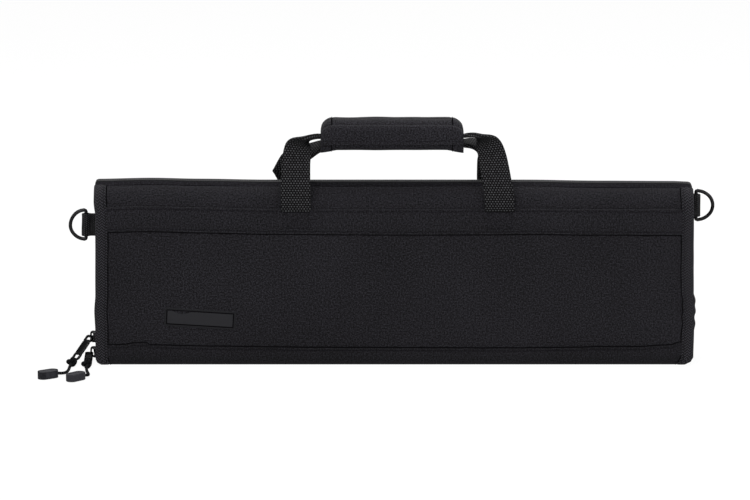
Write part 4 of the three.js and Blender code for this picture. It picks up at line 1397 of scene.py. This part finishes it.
class ZipOperator(bpy.types.Operator):
    """Adds the zip's tapes, its coil and the two sliders"""
    bl_idname = "knifecase.zip"
    bl_label = "Zip"

    pitch = 1.9 * MM
    tooth_half_width = 0.5 * MM
    tooth_reach = 1.9 * MM
    tooth_height = 0.75 * MM
    tooth_shift = 0.75 * MM
    cord_inset = 0.9 * MM
    cord_out = 0.3 * MM
    cord_radius = 0.75 * MM
    plate_half_length = 5.5 * MM
    plate_half_width = 4.5 * MM
    plate_corner = 2 * MM
    plate_levels = ((0.5 * MM, -0.75 * MM), (0, -0.3 * MM), (0, 0.3 * MM), (0.5 * MM, 0.75 * MM))
    bridge_thin = 0.8 * MM
    bridge_stout = 1.3 * MM

    def execute(self, context):
        for cover in COVERS:
            self.add_tape(cover)
            self.add_coil(cover)
        for label in ("upper", "lower"):
            self.add_slider(label)
        return {"FINISHED"}

    def add_tape(self, cover):
        edge, inner = lows("front_zip_tape").y, highs("front_zip_tape").y
        paths = [zip_path(y) for y in spaced(max(edge, ZIP_EDGE - 0.1 * MM) + 0.2 * MM, inner, 6)]
        rows = []
        for places in zip(*paths):
            outer = [point for point, _ in places]
            under = [point - outward * 1.0 * MM for point, outward in reversed(places)]
            rows.append(outer + under)
        tape = closed_loft(f"{cover}_tape_cloth", rows)
        dress(tape, f"{cover}_cover", "zip_tape", "zip_tape_cloth", f"{cover}_zip_tape", angle=50)

    def add_coil(self, cover):
        """Bent filament teeth that reach past the middle, between those of the other half."""
        middle_y = (lows("front_zip_coil").y + highs("front_zip_coil").y) / 2
        path = zip_path(middle_y, 0.35 * MM)
        model = primitive("tooth_model", bpy.ops.mesh.primitive_uv_sphere_add,
                          segments=8, ring_count=5, radius=1)
        for corner in model.data.vertices:
            corner.co = Vector((-corner.co.x * self.tooth_half_width, corner.co.z * self.tooth_reach,
                                corner.co.y * self.tooth_height))
        places = []
        carry = self.pitch / 4
        for (start, out), (end, _) in zip(path, path[1:]):
            span = (end - start).length
            way = (end - start) / span
            while carry <= span:
                spot = start + way * carry
                if spot.z < highs("lower_slider").z + self.pitch and (spot.x < 0) == (cover == "front"):
                    carry += self.pitch
                    continue
                side = out.cross(way).normalized()
                shift = Vector((0, self.tooth_shift, 0))
                frame_of = Matrix((way, side, out)).transposed().to_4x4()
                places.append(Matrix.Translation(spot + shift) @ frame_of)
                carry += self.pitch
            carry -= span
        teeth = copies(f"{cover}_teeth", model, places)
        cord_path = [point for point, _ in zip_path(middle_y - self.cord_inset, self.cord_out)]
        cord = closed_loft(f"{cover}_coil_cord", tube_rows(cord_path, self.cord_radius, 8))
        dress(joined(f"{cover}_teeth", teeth, cord), f"{cover}_cover", "zip_coil", "zip_nylon",
              f"{cover}_zip_coil", angle=60)

    def add_slider(self, label):
        node = f"{label}_slider"
        low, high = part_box(node)
        middle_z = (low.z + high.z) / 2
        outer_x = -(END_X + 2.05 * MM)
        inner_x = high.x - 2 * MM
        parts = []
        for name, x in (("outer", outer_x), ("inner", inner_x)):
            plate = moulding(f"{label}_{name}_plate", self.plate_half_length, self.plate_half_width,
                             self.plate_corner, self.plate_levels)
            plate.matrix_world = Matrix.Translation((x, 0, middle_z)) @ Matrix.Rotation(math.pi / 2, 4, "Y")
            parts.append(plate)
        post = moulding(f"{label}_post", 2.5 * MM, 0.6 * MM, 0.5 * MM, ((0, 0), (0, inner_x - outer_x)))
        post.matrix_world = Matrix.Translation((outer_x, 0, middle_z)) @ Matrix.Rotation(math.pi / 2, 4, "Y")
        parts.append(post)
        reach = low.x + 1.0 * MM
        leg = [(outer_x, 3.7 * MM), (outer_x - 1.6 * MM, 3.8 * MM), (reach + 1 * MM, 3.8 * MM),
               (reach + 0.2 * MM, 2.8 * MM)]
        arch = [(x, 0, middle_z - rise) for x, rise in leg] + [(reach, 0, middle_z)]
        arch += [(x, 0, middle_z + rise) for x, rise in reversed(leg)]
        path = [Vector(point) for point in smooth_path(arch, 40)]
        radii = [min(max((point.x - reach) * 0.3 + self.bridge_thin, self.bridge_thin), self.bridge_stout)
                 for point in path]
        parts.append(closed_loft(f"{label}_arch", tube_rows(path, radii, 12)))
        depth = outer_x - reach - 1.9 * MM
        body = moulding(f"{label}_body", 4.4 * MM, 2.2 * MM, 1 * MM, (
            (0, 0), (0, depth - 0.5 * MM), (0.2 * MM, depth - 0.15 * MM), (0.6 * MM, depth)))
        body.matrix_world = Matrix.Translation((outer_x, 0, middle_z)) @ Matrix.Rotation(-math.pi / 2, 4, "Y")
        parts.append(body)
        dress(joined(f"{label}_zip_slider", *parts), node, "black_metal", "coated_metal", node)


# Straps and grip

STRAP_FEET = (-83.6 * MM, 89.2 * MM)
# Half the grip's length in millimetres, where the straps come out of it
GRIP_END = 58
# Each leg upwards: x, y and z in millimetres, its turn towards the grip and its gathering
FRONT_LEFT_LEG = (
    (-83.6, -23.0, 133.6, 0, 0), (-83.6, -24.2, 138.5, 0, 0), (-83.7, -24.4, 146, 0, 0),
    (-83.8, -23.4, 154, 0, 0), (-83.9, -21.2, 163, 0, 0), (-83.8, -18.4, 171.5, 0, 0.02),
    (-83.2, -15.6, 179, 0.02, 0.06),
    (-82.2, -12.9, 185.5, 0.08, 0.12), (-80.6, -10.8, 190.3, 0.3, 0.22), (-76.2, -9, 193.6, 0.74, 0.42),
    (-69.5, -7.8, 195.4, 0.82, 0.68), (-62, -6.9, 195.9, 0.8, 0.88), (-50, -6.6, 196, 0.85, 1))
FRONT_RIGHT_LEG = (
    (89.2, -23.0, 133.6, 0, 0), (89.2, -24.2, 138.5, 0, 0), (88.8, -24.4, 146, 0, 0),
    (87.8, -23.4, 154, 0, 0), (86.2, -21.2, 163, 0, 0), (84.6, -18.2, 172, 0.02, 0.03),
    (83, -15.2, 180, 0.06, 0.08),
    (80.6, -12.2, 187.6, 0.16, 0.14), (77.6, -10, 193, 0.42, 0.26), (72.6, -8.4, 196, 0.8, 0.5),
    (66.5, -7.4, 196.9, 0.82, 0.72), (60, -6.8, 196.6, 0.8, 0.9), (50, -6.6, 196, 0.85, 1))
# The rear strap, drawn as its own cover's front
REAR_LEFT_LEG = (
    (-83.5, -23.0, 133.6, 0, 0), (-83.5, -24.2, 140, 0, 0), (-83.4, -23.8, 148, 0, 0),
    (-83.2, -21, 157, 0.02, 0), (-83, -17, 166, 0.06, 0.02), (-82.4, -12.6, 174, 0.16, 0.06),
    (-80, -9.6, 180.4, 0.4, 0.2),
    (-74.6, -8, 184.6, 0.66, 0.5), (-68, -7.1, 187, 0.78, 0.76), (-60, -6.7, 187.8, 0.8, 0.92),
    (-50, -6.6, 188, 0.9, 1))
REAR_RIGHT_LEG = (
    (85.8, -23.0, 133.6, 0, 0), (86, -24.2, 140, 0, 0), (86.6, -23.8, 147, 0, 0),
    (88.2, -21.4, 153.5, 0, 0), (90.6, -18.6, 158.6, 0, 0), (92, -17.2, 161.2, 0.01, 0),
    (90.6, -15.8, 163.8, 0.03, 0), (87.6, -13, 169.4, 0.1, 0.03),
    (84.6, -10.6, 174, 0.24, 0.08), (80.4, -9, 177.6, 0.42, 0.22), (74, -7.9, 180.4, 0.62, 0.46),
    (67.4, -7.1, 183.2, 0.74, 0.72), (60, -6.7, 186, 0.8, 0.9), (50, -6.6, 188, 0.9, 1))


class HandlesOperator(bpy.types.Operator):
    """Adds both webbing straps"""
    bl_idname = "knifecase.handles"
    bl_label = "Handles"

    width = 25 * MM
    thickness = 1.6 * MM
    gathered_width = 11.4 * MM
    gathered_thickness = 2.8 * MM
    folded_thickness = 4.6 * MM

    def execute(self, context):
        self.add_strap("front", FRONT_LEFT_LEG, FRONT_RIGHT_LEG)
        self.add_strap("rear", REAR_LEFT_LEG, REAR_RIGHT_LEG)
        return {"FINISHED"}

    def section(self, station):
        """A cross-section that turns from facing front to lying flat and gathers into the grip."""
        x, y, z, turn, gather = station
        spin = Matrix.Rotation(2 * math.pi / 3 * clamped(turn), 3, Vector((1, 1, 1)).normalized())
        wide, thick = spin @ Vector((1, 0, 0)), spin @ Vector((0, 1, 0))
        if x > 0:
            wide.x, thick.x = -wide.x, -thick.x
        gather = clamped(gather)
        narrow = 1 + (self.gathered_width / self.width - 1) * gather
        outside = clamped((abs(x) - GRIP_END) / 4)
        stout = self.gathered_thickness + (self.folded_thickness - self.gathered_thickness) * outside
        stout = 1 + (stout / self.thickness - 1) * gather
        corners = []
        for across, height in strip_section(self.width / 2, self.thickness, 0.4 * MM, 12):
            ripple = math.sin(across / self.width * 2 * math.pi * 1.5) * 0.9 * MM * gather * (1 - gather)
            corners.append(Vector((x, y, z)) * MM + wide * across * narrow
                           + thick * ((height - self.thickness / 2) * stout + ripple))
        return corners

    def add_strap(self, name, left, right):
        stations = smooth_path(left, 66) + [[x, *left[-1][1:]] for x in (-30, -10, 10, 30)]
        stations += reversed(smooth_path(right, 66))
        strap = closed_loft(f"{name}_strap_webbing", [self.section(station) for station in stations])
        dress(strap, f"{name}_handle", "webbing", "strap_webbing", f"{name}_strap", angle=60)


class GripOperator(bpy.types.Operator):
    """Adds the padded grip, its end bindings, its flap and the strips that close it"""
    bl_idname = "knifecase.grip"
    bl_label = "Grip"

    shift = -2.1 * MM
    end_round = 13 * MM
    end_drop = 10.5 * MM
    end_sag = 14 * MM
    foot_lift = 2.6 * MM
    binding = 9.5 * MM
    binding_thickness = 0.35 * MM

    def execute(self, context):
        self.top = highs("front_grip_pad").z
        self.low = lows("front_grip_pad").z
        self.half = highs("front_grip_pad").x
        self.add_half("front", -lows("front_grip_pad").y, False)
        self.add_half("rear", highs("rear_grip_pad").y, True)
        self.add_flap()
        self.add_strip("loop_strip", "front_handle", "loop_tape")
        self.add_strip("hook_strip", "flap", "hook_tape")
        return {"FINISHED"}

    def end_share(self, x):
        """How far the rounded end has dropped at x, from 0 to 1."""
        end = clamped((abs(x) - self.half + self.end_round) / self.end_round)
        return 1 - math.sqrt(max(1 - end * end, 0))

    def swell(self, x, seed):
        """Padding that is uneven along the grip and drawn in at the bindings' seams."""
        seam = abs(abs(x) - self.half + self.binding)
        uneven = noise.noise(Vector((x * 40, seed, 5))) * 0.5 * MM
        return (uneven - max(1 - seam / (1.2 * MM), 0) * 0.45 * MM
                + (self.binding_thickness if abs(x) > self.half - self.binding else 0))

    def outline(self, x, depth, swell=0):
        """Half of the grip's section at x, from the parting's foot round the outside to its top."""
        drop = self.end_share(x)
        sag = clamped((abs(x) - self.half + self.end_sag) / self.end_sag)
        top = self.top - drop * self.end_drop + swell
        low = self.low + (1 - sag) * self.foot_lift - swell * 0.4
        reach = depth - drop * 2.5 * MM + swell
        top_corner, low_corner = 9 * MM - drop * 3 * MM, 5 * MM
        points = [(-0.3 * MM, low)]
        for turn in spaced(0, math.pi / 2, 6):
            points.append((low_corner - reach - low_corner * math.sin(turn),
                           low + low_corner - low_corner * math.cos(turn)))
        for share in spaced(0, 1, 6)[1:-1]:
            z = low + low_corner + (top - top_corner - low - low_corner) * share
            points.append((-reach - math.sin(math.pi * share) * 0.5 * MM, z))
        for turn in spaced(0, math.pi / 2, 8):
            points.append((top_corner - reach - top_corner * math.cos(turn),
                           top - top_corner + top_corner * math.sin(turn)))
        points.append((-0.3 * MM, top))
        return points

    def add_half(self, name, depth, rear):
        shift = -self.shift if rear else self.shift
        rows = [[Vector((x + shift, y, z)) for y, z in self.outline(x, depth, self.swell(x, len(name)))]
                for x in spaced(-self.half, self.half, 160)]
        # The grip's cloth is in the lighter copy of the trim, painted light from above
        half = closed_loft(f"{name}_grip_cloth_painted_light", rows)
        dress(half, f"{name}_handle", "trim_canvas", "grip_cloth_painted_light", f"{name}_grip_pad", angle=50)
        # A near-black cord along each binding's seam, painted as the shade in the seam's crease
        for label, x in (("left", self.binding - self.half), ("right", self.half - self.binding)):
            points = [Vector((x + shift, y, z)) for y, z in self.outline(x, depth, 0.15 * MM)[2:]]
            seam = closed_loft(f"{name}_grip_{label}_seam", tube_rows(points, 0.45 * MM, 6))
            dress(seam, f"{name}_handle", "trim_canvas", "shadow_line")

    def add_flap(self):
        """The wrap's free edge: it comes over the top's front corner and hangs down the face."""
        low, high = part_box("grip_flap")
        reach = self.half - 0.2 * MM
        rows = []
        line = []
        for x in spaced(-reach, reach, 140):
            drop = self.end_share(x)
            swell = self.swell(x, 9)
            wave = noise.noise(Vector((x * 30, 3, 8))) * 0.3 * MM
            top = high.z - drop * 8.5 * MM + 0.4 * MM
            foot = low.z + wave - 0.4 * MM
            face_y = low.y + drop * 2.4 * MM - swell
            back = high.y + drop * 1.6 * MM
            # Down the outside from the crease, then back up the inside
            outside = ((0, 3.6), (0.03, 2.2), (0.09, 1.0), (0.2, 0.3), (0.36, 0), (0.6, -0.15),
                       (0.76, 0.05), (0.8, 0.45), (0.84, 0.1), (0.95, 0.25), (1, 0.8))
            section = [Vector((x + self.shift, face_y + shift * MM, top + (foot - top) * share))
                       for share, shift in outside]
            section += [Vector((x + self.shift, max(back, face_y + 1.0 * MM), top + (foot - top) * share))
                        for share in (0.98, 0.7, 0.4, 0.15)]
            section.append(Vector((x + self.shift, face_y + 4.2 * MM, top - 0.6 * MM)))
            rows.append(section)
            seam = Vector((x + self.shift, face_y + 0.25 * MM, top + (foot - top) * 0.8))
            line.append((seam, -INWARD))
        flap = closed_loft("grip_flap_cloth", rows)
        # The flap is in the lighter copy of the trim, painted light from above
        dress(flap, "flap", "trim_canvas", "grip_cloth_painted_light", "grip_flap", angle=60)
        thread = stitches("flap_stitches", [line], 3 * MM, 2.2 * MM, 0.22 * MM)
        dress(thread, "flap", "trim_canvas", "sewing_thread")

    def add_strip(self, node, body, finish):
        low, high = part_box(node)
        depth = high.y - low.y
        strip = moulding(f"{node}_tape", (high.x - low.x) / 2, (high.z - low.z) / 2, 1 * MM,
                         ((0.1 * MM, 0), (0, 0.1 * MM), (0, depth - 0.1 * MM), (0.1 * MM, depth)))
        middle = (low + high) / 2
        strip.matrix_world = (Matrix.Translation((middle.x + self.shift, high.y, middle.z))
                              @ Matrix.Rotation(math.pi / 2, 4, "X"))
        dress(strip, body, "closure_tape", finish, node)


def own_box(node, rear):
    """A node's corners as its own cover's front sees them."""
    low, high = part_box(node)
    if rear:
        return Vector((-high.x, -high.y, low.z)), Vector((-low.x, -low.y, high.z))
    return low, high


def tape(name, places, width, thickness):
    """A flat tape through places, each a point with its ways across and out."""
    return closed_loft(name, [[point + across * x + out * (height - thickness / 2)
                               for x, height in strip_section(width / 2, thickness, thickness * 0.3)]
                              for point, across, out in places])


class PocketsOperator(bpy.types.Operator):
    """Adds the knife and tool sleeves, their elastic loops and the mesh pocket"""
    bl_idname = "knifecase.pockets"
    bl_label = "Pockets"

    sheet = 0.9 * MM
    closed_run = 16 * MM
    hem_width = 9 * MM
    net_slope = 14 * MM
    net_cell = 2.4 * MM
    net_wire = 0.5 * MM
    net_yarn = 0.5
    net_binding = 8 * MM
    net_corner = 5 * MM

    def execute(self, context):
        self.add_row("tool_sleeves", "front", 3, "lining_cloth", "lining")
        self.add_row("tool_elastic", "front", 3, "elastic", "elastic_band")
        self.add_row("knife_sleeves", "rear", 4, "lining_cloth", "lining")
        self.add_row("knife_elastic", "rear", 4, "elastic", "elastic_band")
        self.add_mesh_pocket()
        return {"FINISHED"}

    def channel(self, low, high, count, x, open_share):
        """The outer line of the channels at x, from the lowest seam to the highest."""
        points = []
        for share in spaced(0, 1, 14 * count):
            rise = abs(math.sin(math.pi * share * count)) ** 0.55
            slack = 0.88 + noise.noise(Vector((x * 30, math.floor(share * count) * 3.7, count))) * 0.12
            y = low.y + self.sheet + (high.y - low.y - self.sheet) * rise * slack * open_share
            points.append(Vector((x, y, low.z + (high.z - low.z) * share)))
        return points

    def add_row(self, node, cover, count, slot, finish):
        rear = cover == "rear"
        low, high = own_box(node, rear)
        closed = slot == "lining_cloth"
        rows = []
        for x in spaced(low.x, high.x, 72):
            run = min((x - low.x) / self.closed_run, 1) if closed else 1
            outer = self.channel(low, high, count, x, math.sqrt(1 - (1 - run) ** 2))
            rows.append(outer + [point - INWARD * self.sheet for point in reversed(outer)])
        row = closed_loft(f"{node}_cloth", rows)
        dress(row, f"{cover}_cover", slot, finish, node, angle=50)
        mouth = self.channel(low, high, count, high.x - self.hem_width / 2, 1)
        along = Vector((1, 0, 0))
        if closed:
            places = [(point - INWARD * self.sheet / 2, along, INWARD) for point in mouth]
            hem = tape(f"{node}_hem", places, self.hem_width, self.sheet + 0.9 * MM)
            dress(hem, f"{cover}_cover", "binding_tape", "edge_tape_weave", angle=50)
        lines = []
        for seam in range(count + 1):
            z = low.z + (high.z - low.z) * seam / count
            z += 0.8 * MM if seam == 0 else -0.8 * MM if seam == count else 0
            lines.append([(Vector((x, low.y + self.sheet + 0.25 * MM, z)), INWARD)
                          for x in (low.x + 2 * MM, high.x - 2 * MM)])
        thread = stitches(f"{node}_stitches", lines, 3.2 * MM, 2.3 * MM, 0.3 * MM)
        dress(thread, f"{cover}_cover", slot, "inner_thread")

    def net_place(self, low, high, x, z):
        """A point of the net, which slopes down to the lining at its three sewn edges."""
        edge = min(x - low.x, high.x - x, z - low.z) / self.net_slope
        share = 1 - (1 - clamped(edge)) ** 2
        sag = noise.noise(Vector((x * 25, z * 25, 4))) * 0.7 * MM * share
        return Vector((x, low.y + 0.8 * MM + (high.y - low.y - 1.6 * MM) * share + sag, z))

    def add_mesh_pocket(self):
        low, high = own_box("mesh_pocket", False)
        columns = round((high.x - low.x) / self.net_cell)
        levels = round((high.z - low.z) / self.net_cell)
        rows = [[self.net_place(low, high, x, z) for x in spaced(low.x + 1 * MM, high.x - 1 * MM, columns)]
                for z in spaced(low.z + 1 * MM, high.z - 1 * MM, levels)]
        net = loft("mesh_pocket_net", rows)
        with_modifier(net, "WIREFRAME", thickness=self.net_wire, use_even_offset=False, use_boundary=True)
        dress(net, "front_cover", "mesh_cloth", "pocket_net", "mesh_pocket")
        inset, round_off = self.net_binding / 2, self.net_corner
        path = [Vector((low.x + inset, 0, z)) for z in spaced(high.z, low.z + inset + round_off, 12)]
        for side in (-1, 1):
            centre = Vector(((high if side > 0 else low).x - side * (inset + round_off), 0,
                             low.z + inset + round_off))
            for turn in spaced(0, math.pi / 2, 6):
                swing = turn if side < 0 else math.pi / 2 - turn
                path.append(centre + Vector((side * math.cos(swing), 0, -math.sin(swing))) * round_off)
        path += [Vector((high.x - inset, 0, z)) for z in spaced(low.z + inset + round_off, high.z, 12)]
        places = []
        for index, point in enumerate(path):
            way = way_at(path, index)
            point.y = self.net_place(low, high, point.x, point.z).y + 0.3 * MM
            places.append((point, INWARD.cross(way), INWARD))
        edge = tape("mesh_pocket_binding", places, self.net_binding, 1.6 * MM)
        mouth = [(self.net_place(low, high, x, high.z - 4.5 * MM), UPWARD, INWARD)
                 for x in spaced(low.x + 1 * MM, high.x - 1 * MM, 60)]
        top = tape("mesh_pocket_mouth", mouth, self.hem_width, 1.7 * MM)
        dress(edge, "front_cover", "binding_tape", "edge_tape_weave", angle=50)
        dress(top, "front_cover", "elastic", "elastic_band", angle=50)


class PageOperator(bpy.types.Operator):
    """Adds the quilted page between the covers and its binding"""
    bl_idname = "knifecase.page"
    bl_label = "Page"

    quilt = 32 * MM
    edge_run = 7 * MM
    edge_depth = 0.45 * MM
    quilt_depth = 0.95 * MM
    binding = 9 * MM
    corner = 8 * MM

    def execute(self, context):
        low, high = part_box("blade_page")
        rows = []
        for z in spaced(low.z, high.z, 84):
            half = [(x, self.depth(low, high, x, z))
                    for x in spaced(low.x + 0.4 * MM, high.x - 0.4 * MM, 260)]
            rows.append([Vector((x, -depth, z)) for x, depth in half]
                        + [Vector((x, depth, z)) for x, depth in reversed(half)])
        page = closed_loft("blade_page_cloth", rows)
        dress(page, "page", "lining_cloth", "page_cloth", "blade_page", angle=60)
        corner = self.corner
        inset = self.binding / 2 - 0.3 * MM
        path = [Vector((low.x + inset, 0, z)) for z in spaced(low.z + 1 * MM, high.z - corner, 24)]
        for side in (-1, 1):
            centre = Vector((side * (high.x - corner), 0, high.z - corner))
            for turn in spaced(0, math.pi / 2, 8):
                swing = turn if side < 0 else math.pi / 2 - turn
                path.append(centre + Vector((side * math.cos(swing), 0, math.sin(swing))) * (corner - inset))
        path += [Vector((high.x - inset, 0, z)) for z in spaced(high.z - corner, low.z + 1 * MM, 24)]
        places = []
        for index, point in enumerate(path):
            way = way_at(path, index)
            places.append((point, INWARD.cross(way), INWARD))
        edge = tape("blade_page_binding", places, self.binding, 3.1 * MM)
        dress(edge, "page", "binding_tape", "edge_tape_weave", angle=50)
        return {"FINISHED"}

    def depth(self, low, high, x, z):
        """Half the page's thickness: padded between the quilting's crossing seams, thin at its edges."""
        one = abs(math.sin((x + z) * math.pi / self.quilt))
        other = abs(math.sin((x - z) * math.pi / self.quilt))
        edge = min(x - low.x, high.x - x, high.z - z, z - low.z + 2 * MM) / self.edge_run
        return self.edge_depth + self.quilt_depth * (one * other) ** 0.45 * clamped(edge)


class SpineOperator(bpy.types.Operator):
    """Adds the spine's cloth with its seams and finishes its stiff board"""
    bl_idname = "knifecase.spine"
    bl_label = "Spine"

    seam_inset = 2.2 * MM
    hem_room = 0.2 * MM
    end_room = 1 * MM
    seam_end = 5 * MM

    def execute(self, context):
        low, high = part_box("spine_panel")
        rows = []
        for x in spaced(low.x + self.end_room, high.x - self.end_room, 120):
            wave = noise.noise(Vector((x * 30, 2, 6))) * 0.12 * MM
            rows.append([Vector((x, y, height + (wave if height > 0.8 * MM else 0)))
                         for y, height in strip_section(high.y - self.hem_room, high.z, 0.6 * MM, 12)])
        spine = closed_loft("spine_cloth", rows)
        dress(spine, "spine", "canvas", "outer_canvas", "spine_panel", angle=50)
        ends = (low.x + self.seam_end, high.x - self.seam_end)
        lines = [[(Vector((x, side * (high.y - self.seam_inset), high.z)), UPWARD) for x in ends]
                 for side in (-1, 1)]
        dress(stitches("spine_stitches", lines), "spine", "canvas", "sewing_thread")
        for entry in bpy.data.objects["spine_board"].material_slots:
            entry.material = shared_finish("spine_stiffener")
        return {"FINISHED"}


class CasePanel(bpy.types.Panel):
    """Lists the case's sizes and colours, and the operators that build it"""
    bl_idname = "KNIFECASE_PT_build"
    bl_label = "Knife Case"
    bl_space_type = "VIEW_3D"
    bl_region_type = "UI"
    bl_category = "Knife Case"

    def draw(self, context):
        scene = context.scene
        for group in (scene.case_cloth, scene.case_handle, scene.case_stage):
            box = self.layout.box()
            for label in type(group).__annotations__:
                box.prop(group, label)
        column = self.layout.column(align=True)
        for operator in OPERATORS:
            column.operator(operator.bl_idname)


OPERATORS = (
    StageOperator, PullsOperator, CoversOperator, TrimsOperator, BadgeOperator, RingsOperator, ZipOperator,
    HandlesOperator, GripOperator, PocketsOperator, PageOperator, SpineOperator)
CLASSES = (CaseCloth, CaseHandle, CaseStage, *OPERATORS, CasePanel)


def register():
    for kind in CLASSES:
        bpy.utils.register_class(kind)
    bpy.types.Scene.case_cloth = PointerProperty(type=CaseCloth)
    bpy.types.Scene.case_handle = PointerProperty(type=CaseHandle)
    bpy.types.Scene.case_stage = PointerProperty(type=CaseStage)


def unregister():
    del bpy.types.Scene.case_cloth
    del bpy.types.Scene.case_handle
    del bpy.types.Scene.case_stage
    for kind in reversed(CLASSES):
        bpy.utils.unregister_class(kind)


def main():
    register()
    build = bpy.ops.knifecase
    for step in (build.stage, build.pulls, build.covers, build.trims, build.badge, build.rings, build.zip,
                 build.handles, build.grip, build.pockets, build.page, build.spine):
        step()


if __name__ == "__main__":
    main()
